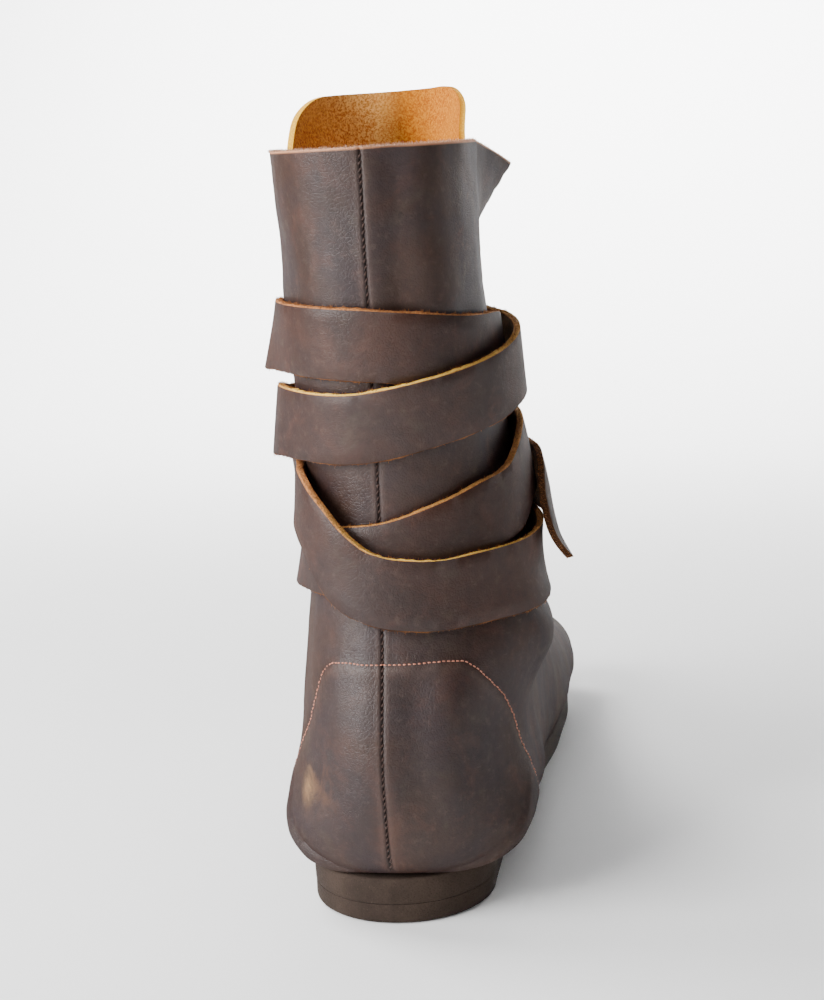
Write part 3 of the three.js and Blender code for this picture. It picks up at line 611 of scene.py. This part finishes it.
LEATHER = leather("upper_leather", rgb(44, 33, 34), rgb(52, 35, 28), rgb(25, 17, 15))
STRAP_LEATHER = leather("strap_leather", rgb(45, 31, 28), rgb(57, 35, 27), rgb(26, 16, 14), 0.54)
LINING = flesh("lining", rgb(128, 98, 74), rgb(80, 58, 44))
SUEDE = flesh("tongue_suede", rgb(255, 202, 116), rgb(184, 108, 46))
PALE_EDGE = flesh("tongue_edge", rgb(255, 208, 74), rgb(232, 160, 36), 1.4)
CUT_EDGE = flesh("cut_edge", rgb(188, 126, 78), rgb(104, 60, 32), 1.6)
COLLAR_EDGE = flesh("collar_edge", rgb(236, 194, 166), rgb(164, 112, 88), 1.6)
RUBBER = rubber()
BOARD = flesh("insole_board", rgb(172, 132, 92), rgb(130, 92, 60), 0.6)
COPPER = thread("copper_thread", rgb(206, 142, 116), rgb(136, 74, 58))
DARK = thread("dark_thread", rgb(62, 34, 22), rgb(34, 20, 14))

# The upper's marks: where it is creased, rubbed and shaded

counter_rows = columns("along inner outer", [
    [-0.2, 1.0, 1.0], [0.05, 1.0, 1.0], [0.1, 0.99, 0.99],
    [0.13, 0.955, 0.975], [0.165, 0.91, 0.925], [0.2, 0.875, 0.835],
    [0.25, 0.83, 0.74], [0.35, 0.72, 0.64], [0.46, 0.55, 0.5],
    [0.56, 0.42, 0.38], [0.66, 0.3, 0.28], [0.74, 0.21, 0.21],
])
counter_y = HEEL_BACK + counter_rows["along"] * HEEL_LENGTH
COUNTER_END = counter_y[-1]
# A distance at which nothing is left of any mark.
FAR = 99.0


def counter_height(y, side):
    inner, outer = (np.interp(y, counter_y, counter_rows[name]) for name in ("inner", "outer"))
    return np.where(np.asarray(side) > 0, inner, outer) * COUNTER_HEIGHT


def counter_distance(points, side):
    """Distance above the counter's stitched edge, below zero on the counter."""
    y = points[:, 1]
    z = counter_height(y, side)
    slope = (counter_height(y + 1, side) - counter_height(y - 1, side)) / 2
    return np.where(y < COUNTER_END, (points[:, 2] - z) / np.sqrt(1 + slope**2), FAR)


# Creases: two ends (x, y, z), width and depth. A crease is a soft trough with a low ridge over it.
CREASES = [
    [(8, -46, 104), (20, -40, 108), 2.2, 0.5],
    [(10, -44, 110), (22, -38, 106), 1.8, 0.4],
    [(12, -44, 98), (21, -38, 92), 2.0, 0.4],
    [(-30, 60, 104), (-12, 86, 112), 4.5, 1.4],
    [(12, 88, 112), (34, 62, 104), 4.5, 1.4],
    [(-34, 62, 92), (-16, 96, 103), 4.0, 1.0],
    [(16, 98, 103), (36, 66, 92), 4.0, 1.0],
    [(-40, 132, 62), (0, 142, 77), 5.0, 0.7],
    [(0, 142, 77), (38, 128, 62), 5.0, 0.7],
    [(-42, 142, 55), (2, 154, 70), 4.5, 0.6],
    [(2, 154, 70), (38, 140, 55), 4.5, 0.6],
    [(30, -8, 262), (34, 20, 250), 3.0, 0.35],
    [(-38, 0, 92), (-30, -22, 100), 4.0, 0.5],
    [(36, 10, 100), (40, 34, 88), 5.0, 0.8],
    [(38, 18, 112), (38, 44, 96), 4.5, 0.7],
]
# A crease's ridge: share of the trough's depth, and how many widths above it is and reaches.
CREASE_RIDGE = dict(height=0.45, above=1.9, reach=3)
# Spots on the leather: mark, strength, middle and radius. The shade spot on the heel is painted shade.
SPOTS = [
    ("golden", 0.75, (-32, -26, 48), 4),
    ("golden", 0.3, (-32, -24, 55), 4),
    ("golden", 0.12, (-28, -34, 50), 8),
    ("rusty", 0.35, (-24, -34, 54), 11),
    ("rusty", 0.2, (-14, -38, 66), 9),
    ("shade", 0.32, (-8, -38, 55), 26),
]
# The longest step along the upper, the steps around each half, and how they crowd to its far edge.
UPPER_STEP, UPPER_AROUND, UPPER_CROWDING = 2.8, 78, 1.3
# Two rows of points just under the collar, where its worn rim starts.
RIM_ROWS = (COLLAR_RIB - 0.022, COLLAR_RIB - 0.006)
# Stands for the angle of the turned-in margin.
MARGIN_ANGLE = 200.0


def crease_shift(points):
    total = np.zeros(len(points))
    for a, b, width, depth in CREASES:
        a, b = np.array(a, float), np.array(b, float)
        along = b - a
        t = np.clip((points - a) @ along / (along @ along), 0, 1)
        aside = points - a - t[:, None] * along
        distance = np.linalg.norm(aside, axis=1)
        fade = smooth(0, 0.25, t + 0.05) * smooth(1.0, 0.75, t - 0.05)
        above = bell(aside[:, 2] - CREASE_RIDGE["above"] * width, width)
        ridge = CREASE_RIDGE["height"] * above * bell(distance, CREASE_RIDGE["reach"] * width)
        total += depth * (ridge - bell(distance, width)) * fade
    return total


def front_edge(u, side):
    """The angle at which a quarter starts beside the throat. The lapel is cut back."""
    rib = rib_at(u)
    opened = smooth(THROAT_RIB, THROAT_RIB + THROAT_OPENS, u)
    wide = smooth(THROAT_RIB + THROAT_OPENS, COLLAR_RIB, u)
    gap = THROAT_GAP / 2 * (THROAT_SHARE * opened + (1 - THROAT_SHARE) * wide)
    share = np.clip(gap / np.maximum((rib["inner"] + rib["outer"]) / 2, 1e-6), 0, 1)
    start = np.degrees(np.arcsin(share ** (rib["round"] / 2)))
    return start + LAPEL_FOLD["cut"] * lapel_height(rib["frontZ"]) * (side > 0)


def upper_sheet():
    """The upper's outer face, smooth as yet: points, faces, and each point's side, angle and rib."""
    places = [0.0]
    for i in range(COLLAR_RIB):
        a, b = form(i, 1, [0, 90, 180]), form(i + 1, 1, [0, 90, 180])
        steps = int(np.ceil(np.linalg.norm(a - b, axis=1).max() / UPPER_STEP))
        places += [i + k / steps for k in range(1, steps + 1)]
    places = np.sort(np.array([*places, *RIM_ROWS]))
    share = 1 - (1 - np.arange(UPPER_AROUND + 1) / UPPER_AROUND) ** UPPER_CROWDING
    rib = rib_at(places)
    middle = sole_edges(rib["backY"], FEATHER_INSET)[2]
    count = UPPER_AROUND + 2
    points, faces, sides, angles = [], [], [], []
    for side in (1, -1):
        start = front_edge(places, side)[:, None]
        angle = start + (180 - start) * share
        rows = lapel(form(places[:, None], side, angle), side, angle)
        margin = rows[:, -1].copy()
        half = np.abs(margin[:, 0] - middle)
        turned = middle + side * np.maximum(0, half - LASTING_MARGIN)
        turned = np.where(inside_sole(rib["backY"]) & (half > LEAST_HALF + 0.1), turned, rib["seam"])
        margin[:, 0] = np.where(places >= SEAM_RIB, margin[:, 0], turned)
        faces.append(grid_faces(len(places), count, side < 0) + len(points) * len(places) * count)
        points.append(np.concatenate([rows, margin[:, None]], 1).reshape(-1, 3))
        sides.append(np.full(len(places) * count, float(side)))
        angles.append(np.pad(angle, ((0, 0), (0, 1)), constant_values=MARGIN_ANGLE).ravel())
    ribs = np.tile(np.repeat(places, count), 2)
    values = {"side": np.concatenate(sides), "angle": np.concatenate(angles), "rib": ribs}
    return weld(np.concatenate(points), np.concatenate(faces), values)


def build_upper():
    """Adds the upper and returns a tree of its outer face."""
    points, faces, values = upper_sheet()
    normals = normals_of(points, faces)
    x, y, z = points.T
    from_seam = x - rib_at(values["rib"])["seam"]
    on_shaft = values["rib"] > SEAM_RIB
    off_seam = np.where(on_shaft & (values["angle"] > 120), np.abs(from_seam), FAR)
    off_counter = counter_distance(points, values["side"])
    # The seam's groove and its lips, the counter's step and stitched line, and what the foot left.
    shift = 0.1 * bell(off_seam - 1.6, 0.9) - 0.7 * bell(off_seam, 0.45)
    shift += COUNTER_STEP * smooth(0.9, -0.9, off_counter) - 0.35 * bell(off_counter, 0.8)
    shift += crease_shift(points)
    shift += 0.45 * waves(points, 34, 3) + 0.16 * waves(points, 13, 5)
    # Hollows and swellings on the inner side of the seam, in two bands of height.
    beside = np.where(on_shaft & (values["angle"] > 80), from_seam, -FAR)
    upper, lower = smooth(185, 215, z), smooth(35, 55, z) * smooth(100, 80, z)
    for size, away, width, band in (
        (1.6, 23, 7, upper),
        (-1.5, 11, 6, upper),
        (1.1, 24, 8, lower),
        (-1.0, 11, 6.5, lower),
    ):
        shift += size * bell(beside - away, width) * band
    shift *= smooth(0.0, 5.0, z - sole_top(np.clip(y, HEEL_BACK, y_of(1))))
    moved = points + normals * shift[:, None]
    marks = {
        "golden": np.zeros(len(points)),
        "rusty": 0.22 * bell(off_seam - 2, 3) * smooth(100, 40, z),
        "pale": 0.12 * bell(off_counter + 2.0, 1.6) + 0.12 * bell(off_seam - 1.6, 0.8),
        "shade": 0.9 * bell(off_seam, 0.5) + 0.2 * bell(off_counter - 1.0, 0.8),
        "rim": 0.8 * smooth(*RIM_ROWS, values["rib"]),
    }
    # The shade spot darkens the heel as painted shade.
    for name, strength, centre, radius in SPOTS:
        marks[name] += strength * bell(np.linalg.norm(points - np.array(centre, float), axis=1), radius)
    marks = {name: np.tile(np.clip(mark, 0, 1), 2) for name, mark in marks.items()}
    made, walls, kinds = thicken(moved, faces, normals, 0, -WALL)
    looks = [LEATHER, LINING, COLLAR_EDGE]
    add_piece("upper_leather_shell", made, walls, looks, "upper", kinds, marks, 60)
    return BVHTree.FromPolygons([Vector(p) for p in moved], faces)


upper_tree = build_upper()


def way_out(turn):
    """The level direction turn degrees from the back over the outer side."""
    return Vector((-math.sin(math.radians(turn)), -math.cos(math.radians(turn)), 0))


def on_upper(turn, z, centre):
    """Point and normal on the upper, seen from the upright line through centre."""
    way = way_out(turn)
    far = Vector((*centre, z)) + way * 200
    hit, normal, _, _ = upper_tree.ray_cast(far, -way)
    if normal.dot(way) < 0:
        normal.negate()
    return np.array(hit), np.array(normal)


# Stitches and loose fibres

# The rings of a stitch: place along it, size, and how many radii it stands out.
STITCH_RINGS = ((-0.5, 0.35, -0.9), (-0.38, 0.85, 0.1), (0.0, 1.0, 0.5), (0.38, 0.85, 0.1), (0.5, 0.35, -0.9))
STITCH_SIDES = 6
COUNTER_STITCH = dict(first=1.5, pitch=1.75, length=1.25, radius=0.27, out=0.05)
BACK_STITCH = dict(first=24, pitch=2.3, length=1.9, radius=0.3, out=0.4)
# A fibre's thickness, how deep its root is in the edge, and its three corners as angles.
FIBRE_RADIUS, FIBRE_ROOT, FIBRE_CORNERS = 0.12, 0.15, (0, 2.094, 4.189)
COLLAR_FIBRES = 1900


def stitches(name, spots, kind, material):
    """Short threads that dive in at both ends. A spot is a middle, a direction and the way out."""
    points, faces = [], []
    for centre, way, up in spots:
        faces += [[v + len(points) for v in face] for face in tube_faces(len(STITCH_RINGS), STITCH_SIDES)]
        way = unit(way)
        aside = unit(np.cross(up, way))
        up = np.cross(way, aside)
        for t, size, lift in STITCH_RINGS:
            middle = centre + way * t * kind["length"] + up * lift * kind["radius"]
            for k in range(STITCH_SIDES):
                a = 2 * math.pi * k / STITCH_SIDES
                points.append(middle + kind["radius"] * size * (math.cos(a) * aside + math.sin(a) * up))
    add_piece(name, points, faces, [material])


def fibres(name, roots, outs, spread, length, material, shade=0.0):
    """Loose fibres of a cut edge: thin spikes that stand out of it, darkened by shade, which is painted
    shade.
    """
    count = len(roots)
    ways = unit(outs + random.normal(0, spread, (count, 3)))
    aside = unit(np.cross(ways, random.normal(0, 1, (count, 3))))
    other = np.cross(ways, aside)
    base = roots - FIBRE_ROOT * ways
    corners = [base + FIBRE_RADIUS * (math.cos(a) * aside + math.sin(a) * other) for a in FIBRE_CORNERS]
    tips = roots + ways * (length * random.uniform(0.15, 1.0, count) ** 1.6)[:, None]
    a, b, c, tip = (np.arange(count) + k * count for k in range(4))
    faces = np.concatenate([np.stack(f, 1) for f in ((a, b, tip), (b, c, tip), (c, a, tip), (a, c, b))])
    dark = {"shade": np.tile(np.clip(shade + random.normal(0, 0.2, count), 0, 1), 4)}
    add_piece(name, np.concatenate([*corners, tips]), faces, [material], marks=dark)


def counter_stitches():
    # The edge's height depends on where the point is, so each is found in steps.
    line = []
    for turn in np.arange(-118, 118.1, 0.8):
        side = -1 if turn > 0 else 1
        z = COUNTER_HEIGHT
        for _ in range(12):
            hit, _ = on_upper(turn, z, (0, 0))
            z = mix(z, counter_height(hit[1], side), 0.5)
        hit, normal = on_upper(turn, z, (0, 0))
        if hit[1] < COUNTER_END - 1:
            line.append(np.concatenate([hit, normal]))
    line = np.array(line)
    length = np.concatenate([[0], np.cumsum(np.linalg.norm(np.diff(line[:, :3], axis=0), axis=1))])

    def at(s):
        row = np.array([np.interp(s, length, column) for column in line.T])
        return row[:3], row[3:]

    kind = COUNTER_STITCH
    spots = []
    for s in np.arange(kind["first"], length[-1] - kind["first"], kind["pitch"]):
        middle, up = at(s)
        way = at(s + 1)[0] - at(s - 1)[0] + random.normal(0, 0.06, 3)
        spots.append((middle + up * kind["out"], way, up))
    stitches("counter_stitches", spots, kind, COPPER)


def back_stitches():
    kind = BACK_STITCH
    spots = []
    seam = np.array([form(u, 1, 180.0) for u in np.linspace(SEAM_RIB + 1.2, COLLAR_RIB, 400)])
    for z in np.arange(kind["first"], SHAFT_HEIGHT - 1.5, kind["pitch"]):
        centre = np.interp(z, seam[:, 2], seam[:, 0]), MIDDLE_Y
        middle, up = on_upper(0, z, centre)
        above = on_upper(0, z + 1.5, centre)[0]
        below = on_upper(0, z - 1.5, centre)[0] if z > kind["first"] else middle
        lean = np.array([1.0, 0, 0]) * random.uniform(0.35, 0.75)
        jitter = random.normal(0, 0.12, 3) * np.array([1, 0, 1])
        flat = unit(up * np.array([0.2, 1, 1]))
        spots.append((middle + flat * kind["out"] + jitter, unit(above - below) + lean, flat))
    stitches("back_seam_stitches", spots, kind, DARK)


def collar_fibres():
    roots = []
    for side in (1, -1):
        angle = random.uniform(float(front_edge(COLLAR_RIB, side)), 180, COLLAR_FIBRES)
        rim = lapel(form(COLLAR_RIB, side, angle), side, angle)
        inwards = unit(np.stack([-rim[:, 0], MIDDLE_Y - rim[:, 1], 0 * angle], 1))
        roots.append(rim + inwards * random.uniform(0, WALL, COLLAR_FIBRES)[:, None])
    roots = np.concatenate(roots)
    outs = np.tile([0.0, 0.0, 1.0], (len(roots), 1))
    fibres("collar_fibres", roots, outs, 0.6, 1.4, COLLAR_EDGE)


counter_stitches()
back_stitches()
collar_fibres()

# Tongue

# Ribs from its start to the throat, its mesh, its half width as a share of the shaft, and its half angle
# at the start and some ribs above.
TONGUE = dict(below=1.4, rows=90, count=60, half=0.62, narrow=42, wide=86, widens=16)


def build_tongue():
    start, rows, count = THROAT_RIB - TONGUE["below"], TONGUE["rows"], TONGUE["count"]
    ribs = np.linspace(0, RIBS - 1, 2000)
    heights = np.maximum.accumulate(rib_at(ribs)["frontZ"])
    place = np.sin((np.arange(count + 1) / count - 0.5) * np.pi)
    crown = np.where(place > 0, TONGUE_CROWN["inner"], TONGUE_CROWN["outer"])
    from_edge = np.minimum(1, (1 - np.abs(place)) * SHAFT_WIDTH * TONGUE["half"] / TONGUE_CORNER)
    drop = TONGUE_CORNER * (1 - np.sqrt(1 - (1 - from_edge) ** 2)) + crown * place**2
    top = np.interp(SHAFT_HEIGHT + TONGUE_RISE - drop, heights, ribs)
    u = start + (top - start) * (np.arange(rows + 1) / rows)[:, None]
    half = mix(TONGUE["narrow"], TONGUE["wide"], smooth(start, start + TONGUE["widens"], u))
    points = form(u, np.where(place < 0, -1, 1), np.abs(place) * half)
    free = smooth(SHAFT_HEIGHT + WALL, SHAFT_HEIGHT + TONGUE_RISE, points[..., 2])
    points[..., 0] += TONGUE_LEAN * free * np.maximum(0, place)
    points = points.reshape(-1, 3)
    x, _, z = points.T
    faces = grid_faces(rows + 1, count + 1)
    normals = normals_of(points, faces)
    above = smooth(SHAFT_HEIGHT - 15, SHAFT_HEIGHT + TONGUE_RISE, z)
    fold = 1.0 * bell(x - 19, 7) - 0.9 * bell(x - 4, 8) + 0.5 * waves(points, 30, 11)
    moved = points + normals * (fold * above)[:, None]
    depth = WALL + TONGUE_CLEARANCE
    made, walls, kinds = thicken(moved, faces.tolist(), normals, -depth, -depth - TONGUE_THICKNESS)
    # Painted shade darkens the suede in the fold and at the inner edge, a darker patch sits low on its outer
    # half, and the suede is warmer on its inner half.
    low = smooth(SHAFT_HEIGHT + TONGUE_RISE, SHAFT_HEIGHT, z)
    painted_shade_and_patch = 0.6 * bell(x - 3, 10) * (0.7 + 0.3 * low) + 0.12 * bell(x + 14, 8) * low + 0.26 * smooth(6, 18, x)
    warm = smooth(-14, 8, x)
    plain = np.zeros(len(x))
    marks = {"shade": np.concatenate([plain, painted_shade_and_patch]), "rusty": np.concatenate([plain, warm])}
    looks = [LEATHER, SUEDE, PALE_EDGE]
    add_piece("tongue_sheet", made, walls, looks, "tongue", kinds, marks, 50)


build_tongue()

# Strap

strap_rows = columns("turn height low high", [
    [-165, 0.701, 0, 0], [-120, 0.716, 0.3, 0.3], [-80, 0.732, 0.7, 0.6],
    [-40, 0.741, 0.2, 0.2], [0, 0.762, 0, 0], [45, 0.766, 0.4, 0.1],
    [90, 0.76, 2.9, 0.3], [135, 0.745, 1.2, 0.3], [180, 0.732, 0.9, 0.7],
    [200, 0.727, 1.2, 1.15], [225, 0.72, 1.6, 1.6], [250, 0.713, 2.2, 2.5],
    [275, 0.704, 2.6, 3], [300, 0.691, 1.8, 2.4], [325, 0.679, 0.6, 1.5],
    [340, 0.671, 0.2, 1.2], [360, 0.658, 0, 0.6], [390, 0.656, 0.6, 0.3],
    [415, 0.655, 2.35, 0.8], [450, 0.646, 2.9, 1.3], [470, 0.638, 1.3, 0.8],
    [495, 0.626, 0.5, 0.3], [540, 0.607, 0.2, 0.2], [585, 0.593, 0.8, 0.8],
    [610, 0.576, 1.1, 1.1], [635, 0.554, 1, 1.2], [650, 0.536, 0.9, 1],
    [677, 0.523, 0.4, 0.3], [695, 0.508, 0.1, 0.1], [714, 0.49, 0, 0],
    [733, 0.483, 0, 0], [763, 0.476, 0.2, 0], [790, 0.467, 0.7, 0],
    [812, 0.463, 0.9, 0.1], [855, 0.476, 0.1, 0], [900, 0.484, 0, 0],
    [945, 0.462, 0.5, 0.6], [990, 0.435, 0.4, 1.9], [1006, 0.431, 0.3, 1.9],
    [1040, 0.436, 0.4, 1.5], [1068, 0.44, 0.85, 1.7], [1080, 0.45, 1.15, 1.8],
    [1088, 0.466, 1.4, 1.8], [1095, 0.493, 1.5, 2.3], [1104, 0.528, 1.5, 2.2],
    [1113, 0.546, 1.4, 1.4], [1125, 0.555, 1.3, 0.4], [1150, 0.559, 1.15, 0.3],
    [1170, 0.547, 1.15, 0.9], [1190, 0.541, 1.2, 2.2], [1215, 0.545, 1.2, 2],
    [1260, 0.547, 1.25, 1.8], [1290, 0.543, 1.7, 2.3], [1310, 0.537, 2.4, 2.4],
    [1328, 0.522, 2.9, 2.6], [1340, 0.489, 3.4, 2.9], [1347, 0.456, 4.1, 3.7],
    [1351, 0.424, 4.9, 4.9],
])
strap_turns = strap_rows.pop("turn")
strap_curves = {name: curve(strap_turns, row) for name, row in strap_rows.items()}
strap_width = curve([1290, 1310, 1328, 1340, 1347, 1351], [1, 1, 0.96, 0.86, 0.56, 0.08])
# The strap's upper cut edge, paler in places and brightened with a painted highlight: turn, spread and
# strength.
PALE_AND_HIGHLIT_EDGES = [
    (350, 60, 0.7), (372, 34, 0.5), (700, 50, 0.15), (1040, 34, 0.8),
    (1074, 17, 0.9), (560, 60, 0.2), (190, 60, 0.2),
]
# Degrees from section to section, and finer steps where the tail starts.
STRAP_STEP, TAIL_STEP, TAIL_FROM = 2.0, 0.8, 1300
# A section's points, -1 to 1 across the width and 0 to 1 through the thickness, round from the inner face.
ACROSS = [-0.97, -0.6, -0.2, 0.2, 0.6, 0.97]
THROUGH = [0.14, 0.5, 0.86]
strap_section = [(a, 0.0) for a in ACROSS] + [(1.0, t) for t in THROUGH]
strap_section += [(a, 1.0) for a in ACROSS[::-1]] + [(-1.0, t) for t in THROUGH[::-1]]
SECTION_KINDS = [1] * 5 + [2] * 4 + [0] * 5 + [2] * 4
# Fibres of an edge: its column of the section, one further in, how many and how dark. The lower fibres'
# darkness is painted shade.
STRAP_FIBRES = [("strap_top_fibres", 7, 10, 6000, 0.0), ("strap_lower_fibres", 16, 13, 2000, 0.4)]


def strap_lines(turns):
    """The strap's lower edge, middle and upper edge on the upper's form, for each turn."""
    places = np.linspace(SLEEVE_RIB, COLLAR_RIB, 260)
    angles = np.linspace(-180, 180, 181)
    points = form(places[:, None], np.where(angles < 0, -1, 1), np.abs(angles)).reshape(-1, 3)
    faces = grid_faces(len(places), len(angles))
    tree = BVHTree.FromPolygons([Vector(p) for p in points], faces.tolist())

    def on_form(turn, z):
        return np.array(tree.ray_cast(Vector((0, MIDDLE_Y, z)), way_out(turn))[0])

    def height_at(turn):
        return strap_curves["height"](turn) * SHAFT_HEIGHT

    lines = []
    for turn in turns:
        z = height_at(turn)
        here = on_form(turn, z)
        radius = math.hypot(here[0], here[1] - MIDDLE_Y)
        a, b = max(turns[0], turn - STRAP_STEP), min(turns[-1], turn + STRAP_STEP)
        slope = math.atan2(height_at(b) - height_at(a), radius * math.radians(b - a))
        edges = []
        for edge in (-1, 0, 1):
            away = edge * STRAP_WIDTH / 2 * strap_width(turn)
            aside = math.degrees(away * math.sin(slope) / radius)
            edges.append(on_form(turn - aside, z + away * math.cos(slope)))
        lines.append(edges)
    return np.array(lines)


def build_strap():
    first, end = strap_turns[0], strap_turns[-1]
    whole, tail = np.arange(first, TAIL_FROM, STRAP_STEP), np.arange(TAIL_FROM, end, TAIL_STEP)
    turns = np.unique([*whole, *tail, end])
    lines = strap_lines(turns)
    layer = STRAP_THICKNESS + STRAP_GAP
    made = []
    for i, turn in enumerate(turns):
        low, mid, high = lines[i]
        width = high - low
        run = lines[min(i + 1, len(turns) - 1), 1] - lines[max(i - 1, 0), 1]
        normal = unit(np.cross(width, run))
        if normal[0] * mid[0] + normal[1] * (mid[1] - MIDDLE_Y) < 0:
            normal = -normal
        lift_low, lift_high = strap_curves["low"](turn), strap_curves["high"](turn)
        # The cut edges are a little ragged.
        fuzz = 0.22 * math.sin(turn * 2.1) * math.sin(turn * 0.77 + 1) + random.normal(0, 0.09)
        for a, t in strap_section:
            base = mid + width / 2 * a + (high + low - 2 * mid) / 2 * a * a
            lift = STRAP_CLEARANCE + layer * max(0.0, mix(lift_low, lift_high, (a + 1) / 2))
            ragged = unit(width) * fuzz * a if abs(a) == 1 else 0
            made.append(base + normal * (lift + STRAP_THICKNESS * t) + ragged)
    made = np.array(made)
    count = len(strap_section)
    kinds = SECTION_KINDS * (len(turns) - 1) + [2, 2]
    # The upper edge is paler in places, and brighter still with a painted highlight. The lower one gets
    # painted shade, and both are darkened at the tail.
    place = np.tile([a for a, _ in strap_section], len(turns))
    turn_of = np.repeat(turns, count)
    pale_and_highlit = sum(k * bell(turn_of - at, spread) for at, spread, k in PALE_AND_HIGHLIT_EDGES)
    patchy = 0.2 * np.sin(turn_of * 0.37) * np.sin(turn_of * 0.113)
    low_painted_shade = 0.78 + patchy + 0.08 * smooth(800, 900, turn_of)
    end_dark = 0.85 * smooth(TAIL_FROM - 10, TAIL_FROM + 25, turn_of)
    dark = np.maximum(low_painted_shade * (place < -0.9), end_dark * (np.abs(place) > 0.9))
    marks = {"low": dark, "golden": np.clip(pale_and_highlit, 0, 1) * (place == 1)}
    faces = tube_faces(len(turns), count, True)
    looks = [STRAP_LEATHER, LINING, CUT_EDGE]
    add_piece("wrap_strap", made, faces, looks, "strap", kinds, marks, 50)
    rows = made.reshape(len(turns), count, 3)
    for name, column, inside, amount, shade in STRAP_FIBRES:
        edge = rows[:, column]
        out = unit(edge - rows[:, inside])
        at = np.sort(random.uniform(0, len(turns) - 1.001, amount))
        i, t = at.astype(int), (at % 1)[:, None]
        side = rows[i, column + 1] - rows[i, column - 1]
        roots = mix(edge[i], edge[i + 1], t) + side * random.uniform(-0.5, 0.5, amount)[:, None]
        fibres(name, roots, out[i], 0.7, 1.5, CUT_EDGE, shade)


build_strap()

# Sole pieces


def slab(name, stations, layers, material, node):
    """A slab that follows the sole. layers holds each section line's inset and height."""
    rings = []
    for y in stations:
        ring = {1: [], -1: []}
        for inset, height in layers:
            at = min(max(y, HEEL_BACK + inset), y_of(1) - inset)
            inner, outer, _ = sole_edges(at, inset)
            for side, x in ((1, inner), (-1, outer)):
                ring[side].append([x, at, height(at)])
        rings.append(ring[1] + ring[-1][::-1])
    points = np.array(rings).reshape(-1, 3)
    faces = tube_faces(len(rings), len(rings[0]))
    add_piece(name, points, faces, [material], node, smooth_angle=50)


def rounded(radius, height, way, inset=0.0):
    """Layers of a rounded edge. height is the slab's bottom if way is 1 and its top if way is -1."""
    made = []
    for a in np.linspace(0, math.pi / 2, 5):
        drop, draw = radius * (1 - math.sin(a)), radius * (1 - math.cos(a))
        made.append((inset + draw, lambda y, d=way * drop: height(y) + d))
    return made


outsole_layers = rounded(0.8, sole_top, -1)[::-1] + rounded(0.5, sole_bottom, 1, 0.15)
outsole_stations = sole_stations(0, 22, 60, 26)
slab("rubber_outsole", outsole_stations, outsole_layers, RUBBER, "outsole")
lift_end = HEEL_BACK + HEEL_LENGTH
lift_stations = np.append(outsole_stations[outsole_stations < lift_end - 2], lift_end)
lift_layers = [(0.3, lambda y: LIFT_THICKNESS - 0.05)] + rounded(2.0, lambda y: 0.0, 1, 0.15)
slab("rubber_heel_lift", lift_stations, lift_layers, RUBBER, "heel_lift")
board_inset = FEATHER_INSET + INSOLE_CLEARANCE
board_seat = SEAT + WALL + SEAT
board_layers = [(board_inset, lambda y, up=up: sole_top(y) + board_seat + up) for up in (INSOLE_THICKNESS, 0)]
slab("insole_sheet", sole_stations(board_inset, 14, 40, 18), board_layers, BOARD, "insole")

# Floor, light and camera

# The floor sweeps up behind the boot without a corner.
SWEEP = dict(near=-3.0, start=0.9, radius=1.0, top=3.0, half=4.0, drop=0.0002)
bend = np.radians(np.linspace(0, 90, 25))
sweep_y = SWEEP["start"] + SWEEP["radius"] * np.sin(bend)
sweep_z = SWEEP["radius"] * (1 - np.cos(bend))
sweep = [(SWEEP["near"], 0.0), *zip(sweep_y, sweep_z), (sweep_y[-1], SWEEP["top"])]
sweep_points = [(x, y, z - SWEEP["drop"]) for y, z in sweep for x in (-SWEEP["half"], SWEEP["half"])]
floor_mesh = bpy.data.meshes.new("floor")
strips = range(0, len(sweep_points) - 2, 2)
floor_mesh.from_pydata(sweep_points, [], [(i, i + 1, i + 3, i + 2) for i in strips])
floor_mesh.shade_smooth()
ground = Paint("floor")
ground_color = ground.blend(ground.noise(3), rgb(243, 243, 243), rgb(248, 248, 248))
floor_mesh.materials.append(ground.finish(ground_color, 0.9))
add_object("floor", floor_mesh)

world = bpy.data.worlds.new("studio")
bpy.context.scene.world = world
world.use_nodes = True
sky = world.node_tree.nodes["Background"]
sky.inputs["Color"].default_value = (1, 1, 1, 1)
sky.inputs["Strength"].default_value = 0.08


def area_light(name, place, target, size, power, spread=180):
    data = bpy.data.lights.new(name, "AREA")
    data.shape = "RECTANGLE"
    data.size, data.size_y = size
    data.energy = power
    data.spread = math.radians(spread)
    light = add_object(name, data)
    light.location = place
    light.rotation_mode = "QUATERNION"
    light.rotation_quaternion = (Vector(target) - Vector(place)).to_track_quat("-Z", "Y")


area_light("key", (-1.2, -0.8, 0.8), (0, 0, 0.14), (1.2, 1.0), 70)
area_light("front", (0.12, -1.5, 1.1), (0, 0, 0.2), (0.2, 0.8), 8)
area_light("above", (-1.0, 0.5, 1.6), (0, 0.1, 0.1), (0.9, 0.9), 38)
area_light("sweep", (0.1, 1.0, 2.2), (0.1, 2.0, 0.3), (1.4, 0.6), 90, 85)

PHOTO_EYE = Vector((0.1077, -0.6416, 0.275))
AIM = Vector((0.006, 0.02, 0.1445))
ROLL = math.radians(3.4)
# The photo's lens in picture heights, and how much closer this one is.
SENSOR, LENS_HEIGHTS, CLOSER = 24, 1.6, 1.14
lens = bpy.data.cameras.new("camera")
lens.sensor_fit = "VERTICAL"
lens.sensor_height = SENSOR
lens.lens = SENSOR * LENS_HEIGHTS * CLOSER
camera = add_object("camera", lens)
camera.rotation_mode = "QUATERNION"
camera.location = PHOTO_EYE
look = (AIM - PHOTO_EYE).to_track_quat("-Z", "Y").to_matrix()
camera.rotation_quaternion = (look @ Matrix.Rotation(-ROLL, 3, "Z")).to_quaternion()
lens.clip_start, lens.clip_end = 0.02, 30
bpy.context.scene.camera = camera
